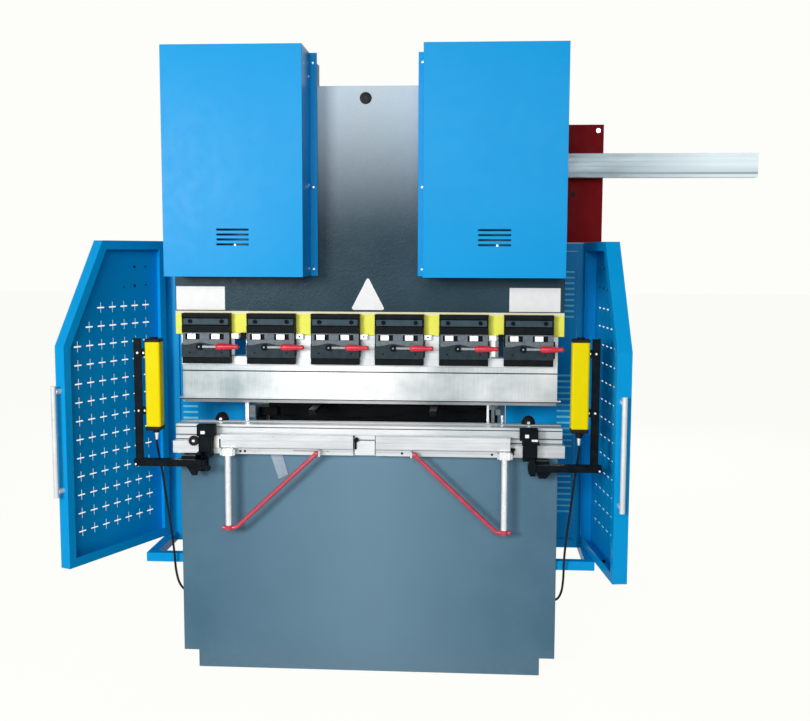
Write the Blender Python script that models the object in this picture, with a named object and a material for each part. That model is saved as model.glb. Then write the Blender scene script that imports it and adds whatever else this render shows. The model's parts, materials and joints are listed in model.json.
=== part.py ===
"""Small hydraulic press brake: an upright C-frame machine with a plate bed, a tee-shaped ram on two
cylinders, six quick clamps, hinged side guards and a light curtain on each end of the table.

Metres, +Z up, front towards -Y. The origin is on the floor below the bending line, under the bed plate.
"""
import math

import bmesh
import bpy
from mathutils import Matrix, Vector

GAP = 0.0003  # between pieces that touch

# bed and table
BED_HALF, BED_FRONT, BED_BACK, BED_TOP = 0.5964, -0.045, 0.025, 0.7065
NOTCH_HALF, NOTCH_TOP = 0.5484, 0.0559
HOLDER_HALF, HOLDER_FRONT, HOLDER_TOP = 0.616, -0.065, 0.746
DIE_HALF, DIE_FRONT, DIE_BACK, DIE_TOP = 0.608, -0.055, 0.035, 0.799
RAIL_FRONT, RAIL_Z0, RAIL_Z1 = -0.0953, 0.7105, 0.773

# side frames
FRAME_IN, FRAME_OUT, FRAME_REAR, FRAME_TOP = 0.415, 0.440, 0.75, 1.85
JAW_FRONT, JAW_BOTTOM, THROAT_BACK = 0.11, 1.10, 0.26

# ram
RAM_HALF, RAM_NECK, RAM_FRONT, RAM_BACK = 0.610, 0.163, -0.025, 0.025
RAM_BOTTOM, RAM_SHOULDER, RAM_TOP = 1.0813, 1.270, 1.847
KEY_X = (FRAME_IN + FRAME_OUT) / 2  # tee keys on the ram's back run in the guide blocks
PUNCH_HALF, PUNCH_TOP, PUNCH_TIP = 0.592, 0.985, 0.8615
CLAMP_X = (-0.507, -0.302, -0.100, 0.100, 0.300, 0.500)
CLAMP_W, CLAMP_Z0, CLAMP_Z1 = 0.152, 0.991, 1.149
LEVER_X, LEVER_Z, LEVER_Y = -0.0175, 1.0455, -0.070

# cylinders and their covers
CYL_X, CYL_R, BORE_R, ROD_R, CYL_Z0, CYL_Z1 = 0.389, 0.080, 0.0250, 0.0245, 1.34, 1.76
COVER_IN, COVER_OUT, COVER_Z0, COVER_Z1, COVER_FRONT = 0.178, 0.5994, 1.2665, 1.946, -0.186
SHEET = 0.003
FLANGE_IN, FLANGE_Y = 0.1556, -0.031
PLATE_Y0, PLATE_Y1 = 0.080, 0.1097

# side guards
HINGE_X, HINGE_Y, DOOR_LEN = 0.731, 0.21, 0.4755
DOOR_Z0, DOOR_Z1, DOOR_CHAMFER_Z, DOOR_CHAMFER_T, DOOR_LIP = 0.374, 1.3745, 1.057, 0.300, 0.028
DOOR_ANGLE, DOOR_DEEP = {"left": 24.2, "right": 6.7}, {"left": 0.036, "right": 0.044}
HANDLE_AT = {"left": (0.018, 0.0), "right": (0.027, 0.008)}
BASE_OUT, BASE_Z0, BASE_Z1, BASE_Y0, BASE_Y1, TUBE = 0.718, 0.343, 0.372, -0.034, 0.258, 0.030
POST_IN, KNUCKLE_R, HANDLE_STAND = 0.672, 0.007, 0.028

# light curtains
CURTAIN_Z0, CURTAIN_Z1 = 0.789, 1.079
CURTAIN = {"left": (0.629, 0.677, 0.691, 0.0), "right": (0.6245, 0.679, 0.686, 0.009)}
ARM_Z0, ARM_Z1, ARM_Y0, ARM_Y1 = 0.676, 0.697, -0.1303, -0.1003

# sheet supports, pendant arm and back gauge
SUPPORT_Y, SUPPORT_Z, SUPPORT_X, BRACE_X, PIN_R = -0.111, 0.720, 0.4295, 0.152, 0.003
PIVOT_X, PIVOT_Y, BEAM_Z0, BEAM_Z1, BEAM_END = 0.50, 0.25, 1.586, 1.664, 1.2465
GAUGE_RAIL_Z, GAUGE_BEAM_HALF = 0.770, 0.384

# cable entry on each side plate
GLAND_Y, GLAND_Z, GLAND_R, GLAND_OUT, CABLE_R = 0.075, 0.203, 0.009, 0.452, 0.0037

SIDES = (("left", -1), ("right", 1))


for old in list(bpy.data.objects):
    bpy.data.objects.remove(old, do_unlink=True)

machine = bpy.data.collections.new("press_brake")
cutters = bpy.data.collections.new("cutters")
bpy.context.scene.collection.children.link(machine)
bpy.context.scene.collection.children.link(cutters)


def paint(name, colour, roughness, metallic=0.0):
    mat = bpy.data.materials.new(name)
    mat.use_nodes = True
    shader = mat.node_tree.nodes["Principled BSDF"]
    shader.inputs["Base Color"].default_value = (*colour, 1.0)
    shader.inputs["Roughness"].default_value = roughness
    shader.inputs["Metallic"].default_value = metallic
    return mat


BLUE = paint("guard_blue", (0.0, 0.30, 0.72), 0.30)
SLATE = paint("frame_slate", (0.11, 0.17, 0.22), 0.38)
DARK = paint("ram_slate", (0.045, 0.065, 0.08), 0.32)
STEEL = paint("ground_steel", (0.62, 0.63, 0.64), 0.28, 1.0)
ALU = paint("rail_aluminium", (0.80, 0.81, 0.82), 0.35, 1.0)
CHROME = paint("hard_chrome", (0.80, 0.80, 0.80), 0.10, 1.0)
BLACK = paint("black_oxide", (0.015, 0.016, 0.018), 0.40)
RED = paint("signal_red", (0.62, 0.03, 0.05), 0.35)
MAROON = paint("cabinet_red", (0.28, 0.01, 0.02), 0.40)
YELLOW = paint("curtain_yellow", (0.95, 0.65, 0.0), 0.38)
RUBBER = paint("cable_rubber", (0.01, 0.01, 0.01), 0.60)


def add(name, mesh, mat, collection=None):
    obj = bpy.data.objects.new(name, mesh)
    mesh.materials.clear()
    if mat:
        mesh.materials.append(mat)
    (collection or machine).objects.link(obj)
    return obj


def box(name, x, y, z, mat=None):
    """A box between two limits on each axis, given in either order."""
    low = Vector((min(x), min(y), min(z)))
    high = Vector((max(x), max(y), max(z)))
    bm = bmesh.new()
    bmesh.ops.create_cube(bm, size=1.0)
    size = Matrix.Diagonal((*(high - low), 1.0))
    bmesh.ops.transform(bm, matrix=Matrix.Translation((low + high) / 2) @ size, verts=bm.verts)
    mesh = bpy.data.meshes.new(name)
    bm.to_mesh(mesh)
    bm.free()
    return add(name, mesh, mat)


AXES = {
    "X": Matrix(((0, 0, 1, 0), (1, 0, 0, 0), (0, 1, 0, 0), (0, 0, 0, 1))),
    "Y": Matrix(((1, 0, 0, 0), (0, 0, -1, 0), (0, 1, 0, 0), (0, 0, 0, 1))),
    "Z": Matrix.Identity(4),
}


def rod(name, axis, centre, radius, span, mat=None, sides=24):
    """A cylinder along an axis; span is its two ends on that axis, centre its other two coordinates."""
    bm = bmesh.new()
    length = abs(span[1] - span[0])
    bmesh.ops.create_cone(bm, cap_ends=True, segments=sides, radius1=radius, radius2=radius, depth=length)
    middle = (span[0] + span[1]) / 2
    place = {"X": (middle, *centre), "Y": (centre[0], middle, centre[1]), "Z": (*centre, middle)}[axis]
    bmesh.ops.transform(bm, matrix=Matrix.Translation(place) @ AXES[axis], verts=bm.verts)
    mesh = bpy.data.meshes.new(name)
    bm.to_mesh(mesh)
    bm.free()
    mesh.shade_smooth()
    mesh.set_sharp_from_angle(angle=math.radians(40))
    return add(name, mesh, mat)


def to_mesh(name, curve_obj, matrix, mat):
    """The evaluated curve as a welded mesh object, moved by the matrix."""
    bpy.context.view_layer.update()
    evaluated = curve_obj.evaluated_get(bpy.context.evaluated_depsgraph_get())
    mesh = bpy.data.meshes.new_from_object(evaluated)
    mesh.transform(matrix @ curve_obj.matrix_world)
    bm = bmesh.new()
    bm.from_mesh(mesh)
    bmesh.ops.remove_doubles(bm, verts=bm.verts, dist=0.00001)
    bmesh.ops.recalc_face_normals(bm, faces=bm.faces)
    bm.to_mesh(mesh)
    bm.free()
    bpy.data.objects.remove(curve_obj, do_unlink=True)
    return add(name, mesh, mat)


def prism(name, axis, outline, span, mat=None):
    """A flat outline extruded along an axis. Outlines are (y, z) for X, (x, z) for Y and (x, y) for Z."""
    curve = bpy.data.curves.new(name, "CURVE")
    curve.dimensions = "2D"
    curve.fill_mode = "BOTH"
    curve.extrude = abs(span[1] - span[0]) / 2
    spline = curve.splines.new("POLY")
    spline.points.add(len(outline) - 1)
    for point, (u, v) in zip(spline.points, outline):
        point.co = (u, v, 0, 1)
    spline.use_cyclic_u = True
    obj = bpy.data.objects.new(name, curve)
    machine.objects.link(obj)
    middle = (span[0] + span[1]) / 2
    shift = Matrix.Translation({"X": (middle, 0, 0), "Y": (0, middle, 0), "Z": (0, 0, middle)}[axis])
    return to_mesh(name, obj, shift @ AXES[axis], mat)


def tube(name, points, radius, mat=None, resolution=2):
    """A round tube through points, with filled ends."""
    curve = bpy.data.curves.new(name, "CURVE")
    curve.dimensions = "3D"
    curve.bevel_depth = radius
    curve.bevel_resolution = resolution
    curve.use_fill_caps = True
    spline = curve.splines.new("POLY")
    spline.points.add(len(points) - 1)
    for point, co in zip(spline.points, points):
        point.co = (*co, 1)
    obj = bpy.data.objects.new(name, curve)
    machine.objects.link(obj)
    return to_mesh(name, obj, Matrix.Identity(4), mat)


def combine(target, operation, tools):
    for tool in tools:
        machine.objects.unlink(tool)
        cutters.objects.link(tool)
        tool.hide_render = True
        tool.display_type = "WIRE"
        mod = target.modifiers.new(tool.name, "BOOLEAN")
        mod.operation = operation
        mod.solver = "EXACT"
        mod.object = tool
    return target


def weld(target, *tools):
    return combine(target, "UNION", tools)


def cut(target, *tools):
    return combine(target, "DIFFERENCE", tools)


def pivot(obj, point):
    """Puts the object's origin on its joint's axis without moving its geometry."""
    obj.data.transform(Matrix.Translation(-Vector(point)))
    obj.location = point
    return obj


def swung(obj, point, degrees):
    """Turns finished geometry about a vertical axis through the point."""
    turn = Matrix.Translation(point) @ Matrix.Rotation(math.radians(degrees), 4, "Z")
    obj.data.transform(turn @ Matrix.Translation(-Vector(point)))
    return obj


def smooth_path(points, steps=4):
    """Points along a curve that passes through the given ones (Catmull-Rom)."""
    ends = [Vector(p) for p in points]
    ends = [2 * ends[0] - ends[1], *ends, 2 * ends[-1] - ends[-2]]
    path = []
    for a, b, c, d in zip(ends, ends[1:], ends[2:], ends[3:]):
        for i in range(steps):
            t = i / steps
            path.append(0.5 * ((2 * b) + (c - a) * t + (2 * a - 5 * b + 4 * c - d) * t * t
                               + (3 * b - a - 3 * c + d) * t ** 3))
    return [*path, ends[-2]]


# ---- frame ----
# The bed plate stands on the floor with its two lower corners stepped in.
prism("bed_plate", "Y", (
    (-NOTCH_HALF, 0), (NOTCH_HALF, 0), (NOTCH_HALF, NOTCH_TOP), (BED_HALF, NOTCH_TOP),
    (BED_HALF, BED_TOP), (-BED_HALF, BED_TOP), (-BED_HALF, NOTCH_TOP), (-NOTCH_HALF, NOTCH_TOP),
), (BED_FRONT, BED_BACK), SLATE)

for side, s in SIDES:
    # C-shaped side plate: lower jaw behind the bed, throat, upper jaw that carries the cylinder, and
    # the gland that the light curtain's cable enters.
    plate = prism(f"side_frame_{side}", "X", (
        (BED_BACK + GAP, 0), (FRAME_REAR, 0), (FRAME_REAR, 1.25), (0.62, FRAME_TOP),
        (JAW_FRONT, FRAME_TOP), (JAW_FRONT, JAW_BOTTOM), (THROAT_BACK - 0.03, JAW_BOTTOM),
        (THROAT_BACK, JAW_BOTTOM - 0.03), (THROAT_BACK, 0.73), (THROAT_BACK - 0.03, 0.70),
        (BED_BACK + GAP, 0.70),
    ), (s * FRAME_IN, s * FRAME_OUT), SLATE)
    weld(plate, rod(f"cable_gland_{side}", "X", (GLAND_Y, GLAND_Z), GLAND_R,
                    (s * (FRAME_OUT - 0.003), s * GLAND_OUT), None, 12))

# Cross beam between the side plates, with the oil tank and its motor standing on it.
INSIDE = FRAME_IN - GAP
box("rear_beam", (-INSIDE, INSIDE), (0.45, 0.70), (1.20, 1.28), SLATE)
tank = box("oil_tank", (-0.36, 0.36), (0.42, 0.70), (1.28 + GAP, 1.60), SLATE)
weld(tank, box("tank_lid", (-0.37, 0.37), (0.41, 0.71), (1.595, 1.615)),
     rod("filler_neck", "Z", (0.27, 0.50), 0.022, (1.61, 1.66)))
cut(tank, box("tank_hollow", (-0.354, 0.354), (0.426, 0.694), (1.288, 1.590)),
    rod("filler_bore", "Z", (0.27, 0.50), 0.017, (1.58, 1.70)))
motor = rod("pump_motor", "Z", (-0.12, 0.56), 0.075, (1.635, 1.82), SLATE)
weld(motor, rod("motor_flange", "Z", (-0.12, 0.56), 0.095, (1.615 + GAP, 1.64)),
     rod("fan_cowl", "Z", (-0.12, 0.56), 0.080, (1.80, 1.86)),
     box("terminal_box", (-0.24, -0.17), (0.52, 0.60), (1.68, 1.76)))

# ---- cylinders, mounts, covers and ram guides ----
for side, s in SIDES:
    # Mounting plate on the jaws, with a fin at each edge that the cover is screwed to.
    plate = box(f"cylinder_mount_{side}", (s * 0.168, s * 0.5957), (PLATE_Y0, PLATE_Y1), (1.30, 1.93), SLATE)
    weld(plate, box(f"inner_fin_{side}", (s * 0.1686, s * 0.1765),
                    (FLANGE_Y + SHEET + GAP, 0.085), (1.34, 1.928)),
         box(f"outer_fin_{side}", (s * 0.588, s * 0.5952), (-0.020, 0.085), (1.345, 1.928)))

    cylinder = rod(f"cylinder_{side}", "Z", (s * CYL_X, 0), CYL_R, (CYL_Z0, CYL_Z1), SLATE, 32)
    weld(cylinder, box(f"saddle_{side}", (s * (CYL_X - 0.07), s * (CYL_X + 0.07)),
                       (0, PLATE_Y0 - GAP), (CYL_Z0 + 0.01, CYL_Z1 - 0.02)))
    cut(cylinder, rod(f"bore_{side}", "Z", (s * CYL_X, 0), BORE_R, (CYL_Z0 - 0.01, 1.70), None, 32))

    # Five-sided cover, open below and behind, with a flange down its inner edge and a row of vents.
    cover = box(f"cylinder_cover_{side}", (s * COVER_IN, s * COVER_OUT), (COVER_FRONT, 0.0797),
                (COVER_Z0, COVER_Z1), BLUE)
    cut(cover, box(f"cover_hollow_{side}", (s * (COVER_IN + SHEET), s * (COVER_OUT - SHEET)),
                   (COVER_FRONT + SHEET, 0.10), (COVER_Z0 - 0.01, COVER_Z1 - SHEET)),
        box(f"cover_inner_trim_{side}", (s * (COVER_IN - 0.01), s * (COVER_IN + 0.01)),
            (FLANGE_Y, 0.10), (COVER_Z0 - 0.01, COVER_Z1 - SHEET)),
        box(f"ram_clearance_{side}", (s * 0.15, s * 0.62), (-0.0295, 0.10), (COVER_Z0 - 0.01, 1.335)),
        *[box(f"vent_{side}_{i}", (s * (CYL_X - 0.048), s * (CYL_X + 0.048)),
              (COVER_FRONT - 0.01, COVER_FRONT + 0.01), (1.3600 + i * 0.0146, 1.3655 + i * 0.0146))
          for i in range(4)])
    weld(cover, box(f"cover_flange_{side}", (s * FLANGE_IN, s * (COVER_IN + SHEET)),
                    (FLANGE_Y, FLANGE_Y + SHEET), (COVER_Z0, COVER_Z1)))

    # Guide block on the jaw, with a tee slot for the key on the ram's back.
    guide = box(f"ram_guide_{side}", (s * (KEY_X - 0.0325), s * (KEY_X + 0.0325)),
                (RAM_BACK + 0.0005, JAW_FRONT - GAP), (1.14, 1.30 - GAP), STEEL)
    cut(guide, box(f"key_slot_{side}", (s * (KEY_X - 0.0105), s * (KEY_X + 0.0105)), (0, 0.06), (1.10, 1.35)),
        box(f"head_slot_{side}", (s * (KEY_X - 0.021), s * (KEY_X + 0.021)), (0.0495, 0.0705), (1.10, 1.35)))

# ---- electrical cabinet and pendant arm ----
cabinet = box("electrical_cabinet", (FRAME_OUT + GAP, 0.759), (0.32, 0.56), (1.3745, 1.7665), MAROON)
weld(cabinet, box("pivot_lug_low", (0.470, 0.530), (0.22, 0.3225), (1.560, BEAM_Z0 - GAP)),
     box("pivot_lug_high", (0.470, 0.530), (0.22, 0.3225), (BEAM_Z1 + GAP, 1.690)))
cut(cabinet, rod("pivot_hole", "Z", (PIVOT_X, PIVOT_Y), 0.0083, (1.55, 1.70)),
    box("cabinet_hollow", (FRAME_OUT + 0.004, 0.7555), (0.3235, 0.5565), (1.36, 1.763)))

arm = box("pendant_arm", (PIVOT_X - 0.02, BEAM_END), (PIVOT_Y - 0.02, PIVOT_Y + 0.02),
          (BEAM_Z0, BEAM_Z1), ALU)
cut(arm, box("arm_hollow", (PIVOT_X + 0.03, BEAM_END + 0.01), (PIVOT_Y - 0.0165, PIVOT_Y + 0.0165),
             (BEAM_Z0 + 0.0035, BEAM_Z1 - 0.0035)))
weld(arm, rod("pivot_pin", "Z", (PIVOT_X, PIVOT_Y), 0.008, (1.563, 1.693)))
pivot(arm, (PIVOT_X, PIVOT_Y, (BEAM_Z0 + BEAM_Z1) / 2))

# ---- side guards ----
LOUVRES = ((0.4630, 8, 0.0202), (0.6875, 13, 0.0200), (1.1245, 9, 0.0186))
KNUCKLES = ((0.44, 0.50, 0.56), (1.18, 1.24, 1.30))
for side, s in SIDES:
    # Welded tube frame: a base that stands out at the front, a post, a top rail and hinge knuckles.
    rear = BASE_Y1 - TUBE
    inner, wall = BASE_OUT - TUBE, FRAME_OUT + GAP
    frame = prism(f"guard_frame_{side}", "Z", tuple((s * x, y) for x, y in (
        (BED_HALF + GAP, BASE_Y0), (BASE_OUT, BASE_Y0), (BASE_OUT, BASE_Y1), (wall, BASE_Y1), (wall, rear),
        (inner, rear), (inner, BASE_Y0 + 0.028), (BED_HALF + GAP, BASE_Y0 + 0.028))),
        (BASE_Z0, BASE_Z1), BLUE)
    weld(frame, prism(f"post_{side}", "Y", tuple((s * x, z) for x, z in (
        (POST_IN, BASE_Z1 - 0.005), (BASE_OUT - 0.0005, BASE_Z1 - 0.005), (BASE_OUT - 0.0005, 1.372),
        (wall, 1.372), (wall, 1.345), (POST_IN, 1.345))), (rear + 0.0005, BASE_Y1 - 0.0005)))
    for i, (low, mid, high) in enumerate(KNUCKLES):
        for j, span in enumerate(((low, mid - GAP), (high + GAP, high + 0.06))):
            weld(frame, rod(f"frame_knuckle_{side}_{i}{j}", "Z", (s * HINGE_X, HINGE_Y),
                            KNUCKLE_R, span, None, 12),
                 box(f"knuckle_tab_{side}_{i}{j}", (s * 0.712, s * 0.734), (HINGE_Y, rear + 0.01), span))

    # Louvred sheet between the post and the side plate.
    panel = box(f"guard_panel_{side}", (s * (FRAME_OUT + GAP), s * (POST_IN - GAP)),
                (rear + 0.008, rear + 0.008 + SHEET), (BASE_Z1 + GAP, 1.345 - GAP), BLUE)
    for group, (start, count, pitch) in enumerate(LOUVRES):
        cut(panel, *[box(f"louvre_{side}_{group}_{i}", (s * 0.612, s * 0.664), (rear, rear + 0.02),
                         (start + i * pitch, start + i * pitch + 0.007)) for i in range(count)])

    # Door pan: outer skin with its rim folded inwards twice, and the front top corner cut off.
    def door_outline(inset):
        back, front = HINGE_Y - 0.010 - inset, HINGE_Y - DOOR_LEN + inset
        slope = math.atan2(DOOR_LEN - DOOR_CHAMFER_T, DOOR_Z1 - DOOR_CHAMFER_Z)
        return ((back, DOOR_Z0 + inset), (front, DOOR_Z0 + inset),
                (front, DOOR_CHAMFER_Z - inset * math.tan(slope / 2)),
                (HINGE_Y - DOOR_CHAMFER_T + inset * math.tan((math.pi / 2 - slope) / 2), DOOR_Z1 - inset),
                (back, DOOR_Z1 - inset))

    axis = (s * HINGE_X, HINGE_Y, DOOR_Z0)
    turn, rim = s * DOOR_ANGLE[side], HINGE_X - DOOR_DEEP[side]
    door = prism(f"guard_door_{side}", "X", door_outline(0.0), (s * rim, s * HINGE_X), BLUE)
    lip_x = rim + SHEET
    tools = [prism(f"door_hollow_{side}", "X", door_outline(SHEET), (s * lip_x, s * (HINGE_X - SHEET))),
             prism(f"door_mouth_{side}", "X", door_outline(DOOR_LIP),
                   (s * (lip_x - 0.01), s * (lip_x + 0.005)))]
    joined = []
    for i, (low, mid, high) in enumerate(KNUCKLES):
        joined += [rod(f"door_knuckle_{side}_{i}", "Z", (s * HINGE_X, HINGE_Y),
                       KNUCKLE_R, (mid, high), None, 12),
                   box(f"door_tab_{side}_{i}", (s * (HINGE_X - 0.004), s * HINGE_X),
                       (HINGE_Y - 0.013, HINGE_Y), (mid + 0.002, high - 0.002))]
    for piece in (door, *tools, *joined):
        swung(piece, axis, turn)
    cut(door, *tools)
    weld(door, *joined)
    pivot(door, axis)

    # Bar handle standing off the front rim.
    edge, (inset, drop) = HINGE_Y - DOOR_LEN, HANDLE_AT[side]
    grip_x = s * (HINGE_X - inset)
    handle = rod(f"door_handle_{side}", "Z", (grip_x, edge - HANDLE_STAND), 0.008,
                 (0.600 - drop, 0.940 - drop), ALU, 16)
    lugs = [box(f"handle_lug_{side}_{i}", (grip_x - 0.005, grip_x + 0.005),
                (edge - HANDLE_STAND, edge - GAP), (z, z + 0.012))
            for i, z in enumerate((0.612 - drop, 0.916 - drop))]
    for piece in (handle, *lugs):
        swung(piece, axis, turn)
    weld(handle, *lugs)
    pivot(handle, axis)

# ---- table ----
prism("die_holder", "X", (
    (HOLDER_FRONT, BED_TOP + GAP), (0.045, BED_TOP + GAP), (0.045, HOLDER_TOP), (HOLDER_FRONT, HOLDER_TOP),
), (-HOLDER_HALF, HOLDER_HALF), ALU)

# Die block: two grooves along its front and a vee on the bending line.
prism("lower_die", "X", (
    (DIE_FRONT, HOLDER_TOP + GAP), (DIE_BACK, HOLDER_TOP + GAP), (DIE_BACK, DIE_TOP), (0.010, DIE_TOP),
    (0, DIE_TOP - 0.010), (-0.010, DIE_TOP), (DIE_FRONT, DIE_TOP),
    (DIE_FRONT, 0.791), (DIE_FRONT + 0.003, 0.791), (DIE_FRONT + 0.003, 0.7885), (DIE_FRONT, 0.7885),
    (DIE_FRONT, 0.767), (DIE_FRONT + 0.002, 0.767), (DIE_FRONT + 0.002, 0.761), (DIE_FRONT, 0.761),
    (DIE_FRONT, 0.7515), (DIE_FRONT + 0.003, 0.7515), (DIE_FRONT + 0.003, 0.7485), (DIE_FRONT, 0.7485),
), (-DIE_HALF, DIE_HALF), STEEL)

RAIL_SPAN = {"left": (-0.456, -0.040), "right": (0.031, 0.4465)}
for side, s in SIDES:
    # Slotted front rail with lugs below for the sheet support's hinge pins.
    back, front = HOLDER_FRONT - GAP, RAIL_FRONT
    rail = prism(f"front_rail_{side}", "X", (
        (back, RAIL_Z0), (back, RAIL_Z1), (front, RAIL_Z1), (front, 0.7555), (front + 0.003, 0.7555),
        (front + 0.003, 0.752), (front, 0.752), (front, 0.732),
        (front + 0.008, 0.728), (front + 0.008, RAIL_Z0),
    ), RAIL_SPAN[side], ALU)
    centre, eye = s * SUPPORT_X, s * BRACE_X
    for i, x in enumerate((centre - 0.0205, centre + 0.0205, eye - s * 0.0095)):
        lug = box(f"hinge_lug_{side}_{i}", (x - 0.003, x + 0.003), (-0.119, -0.080), (0.7115, 0.7285))
        cut(lug, rod(f"lug_hole_{side}_{i}", "X", (SUPPORT_Y, SUPPORT_Z),
                     PIN_R + 0.0004, (x - 0.01, x + 0.01), None, 12))
        weld(rail, lug)
    weld(rail, box(f"lug_strip_{side}", (centre - 0.0235, centre + 0.0235), (-0.095, -0.080),
                   (0.7115, 0.7285)))

    # Swing-up sheet support: a tube under a hinge block, braced by a bent bar.
    support = tube(f"sheet_support_{side}", (
        (eye, SUPPORT_Y, SUPPORT_Z), (s * 0.405, SUPPORT_Y, 0.482), (s * 0.449, SUPPORT_Y, 0.482)),
        0.0075, RED)
    weld(support, rod(f"support_tube_{side}", "Z", (centre, SUPPORT_Y), 0.0105, (0.480, 0.715), None, 20),
         box(f"hinge_block_{side}", (centre - 0.0170, centre + 0.0170),
             (SUPPORT_Y - 0.0105, SUPPORT_Y + 0.0105), (SUPPORT_Z - 0.0105, SUPPORT_Z + 0.0105)),
         rod(f"block_pin_{side}", "X", (SUPPORT_Y, SUPPORT_Z), PIN_R,
             (centre - 0.0250, centre + 0.0250), None, 12),
         rod(f"eye_pin_{side}", "X", (SUPPORT_Y, SUPPORT_Z), PIN_R, (eye - s * 0.0140, eye), None, 12),
         rod(f"eye_{side}", "X", (SUPPORT_Y, SUPPORT_Z), 0.0085, (eye - 0.0058, eye + 0.0058), None, 16))
    pivot(support, (centre, SUPPORT_Y, SUPPORT_Z))

# ---- light curtains ----
for side, s in SIDES:
    # Clamp that grips the table end, in front of the holder above and of the bed plate below.
    clamp = box(f"curtain_mount_{side}", (s * 0.475, s * 0.530), (ARM_Y1 + GAP, HOLDER_FRONT - GAP),
                (0.7665, 0.8025), BLACK)
    weld(clamp, box(f"mount_stem_{side}", (s * 0.485, s * 0.525),
                    (ARM_Y1 + GAP, HOLDER_FRONT - GAP), (0.700, 0.770)),
         box(f"mount_foot_{side}", (s * 0.490, s * 0.581),
             (ARM_Y1 + GAP, BED_FRONT - GAP), (0.652, 0.704)))

    # Outrigger arm with the upright that holds the housing.
    inner, outer, edge, lift = CURTAIN[side]
    strut = box(f"curtain_strut_{side}", (s * 0.500, s * 0.722), (ARM_Y0, ARM_Y1), (ARM_Z0, ARM_Z1), BLACK)
    weld(strut, prism(f"upright_{side}", "Z", tuple((s * x, y) for x, y in (
            (edge, -0.128), (edge + 0.025, -0.128), (edge + 0.025, -0.103),
            (edge + 0.022, -0.103), (edge + 0.022, -0.125), (edge, -0.125))), (ARM_Z1 - 0.002, 1.075 + lift)),
         *[box(f"bracket_{side}_{i}", (s * (outer + GAP), s * (edge + 0.024)), (-0.1260, -0.1150),
               (z + lift, z + lift + 0.024))
           for i, z in enumerate((0.838, 1.018))])

    housing = box(f"light_curtain_{side}", (s * (inner + 0.001), s * (outer - 0.0005)),
                  (-0.1445, -0.1005), (0.80 + lift, 1.067 + lift), YELLOW)
    weld(housing, *[box(f"cap_{side}_{i}", (s * inner, s * outer), (-0.1455, -0.0995),
                        (low + lift, high + lift))
                    for i, (low, high) in enumerate(((CURTAIN_Z0, 0.803), (1.064, CURTAIN_Z1)))],
         rod(f"connector_{side}", "Z", (s * 0.654, -0.108), 0.0065, (0.757, 0.805), None, 12))

    # Cable from the connector down past the bed's edge to the side plate.
    tube(f"curtain_cable_{side}", smooth_path([
        (s * 0.6540, -0.1080, 0.7565), (s * 0.6540, -0.1080, 0.7420), (s * 0.6525, -0.0930, 0.7040),
        (s * 0.6450, -0.0870, 0.6500), (s * 0.6360, -0.0790, 0.5600), (s * 0.6260, -0.0700, 0.4700),
        (s * 0.6200, -0.0590, 0.3850), (s * 0.6200, -0.0400, 0.3150), (s * 0.6160, -0.0080, 0.2600),
        (s * 0.6010, 0.0370, 0.2220), (s * 0.5500, 0.0660, 0.2060), (s * 0.4900, GLAND_Y, GLAND_Z),
        (s * (GLAND_OUT + GAP), GLAND_Y, GLAND_Z)]), CABLE_R, RUBBER)

# ---- ram, rods and tooling ----
ram = prism("ram_plate", "Y", (
    (-RAM_HALF, RAM_BOTTOM), (RAM_HALF, RAM_BOTTOM), (RAM_HALF, RAM_SHOULDER), (RAM_NECK, RAM_SHOULDER),
    (RAM_NECK, RAM_TOP), (-RAM_NECK, RAM_TOP), (-RAM_NECK, RAM_SHOULDER), (-RAM_HALF, RAM_SHOULDER),
), (RAM_FRONT, RAM_BACK), DARK)
for side, s in SIDES:
    weld(ram, box(f"ram_key_{side}", (s * (KEY_X - 0.010), s * (KEY_X + 0.010)),
                  (0.010, 0.060), (1.12, 1.25)),
         box(f"key_head_{side}", (s * (KEY_X - 0.0205), s * (KEY_X + 0.0205)),
             (0.050, 0.070), (1.119, 1.251)))
    rod(f"piston_rod_{side}", "Z", (s * CYL_X, 0), ROD_R, (RAM_SHOULDER + GAP, 1.62), CHROME, 32)

# Tool holder along the ram's foot, open between the end clamps and their neighbours.
holder = box("punch_holder", (-PUNCH_HALF, PUNCH_HALF), (-0.030, 0.020),
             (PUNCH_TOP + GAP, RAM_BOTTOM - GAP), ALU)
cut(holder, *[box(f"holder_window_{i}", (x - 0.023, x + 0.023), (-0.05, 0.05), (1.013, 1.073))
              for i, x in enumerate((-0.409, 0.409))])

prism("punch", "X", (
    (-0.022, PUNCH_TOP), (-0.022, 0.9665), (-0.0195, 0.9665), (-0.0195, 0.9635), (-0.022, 0.9635),
    (-0.022, 0.8790), (-0.012, 0.8750), (-0.009, 0.8700), (-0.0015, PUNCH_TIP), (0.0015, PUNCH_TIP),
    (0.012, 0.8800), (0.014, 0.9000), (0.014, PUNCH_TOP),
), (-PUNCH_HALF, PUNCH_HALF), STEEL)

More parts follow.
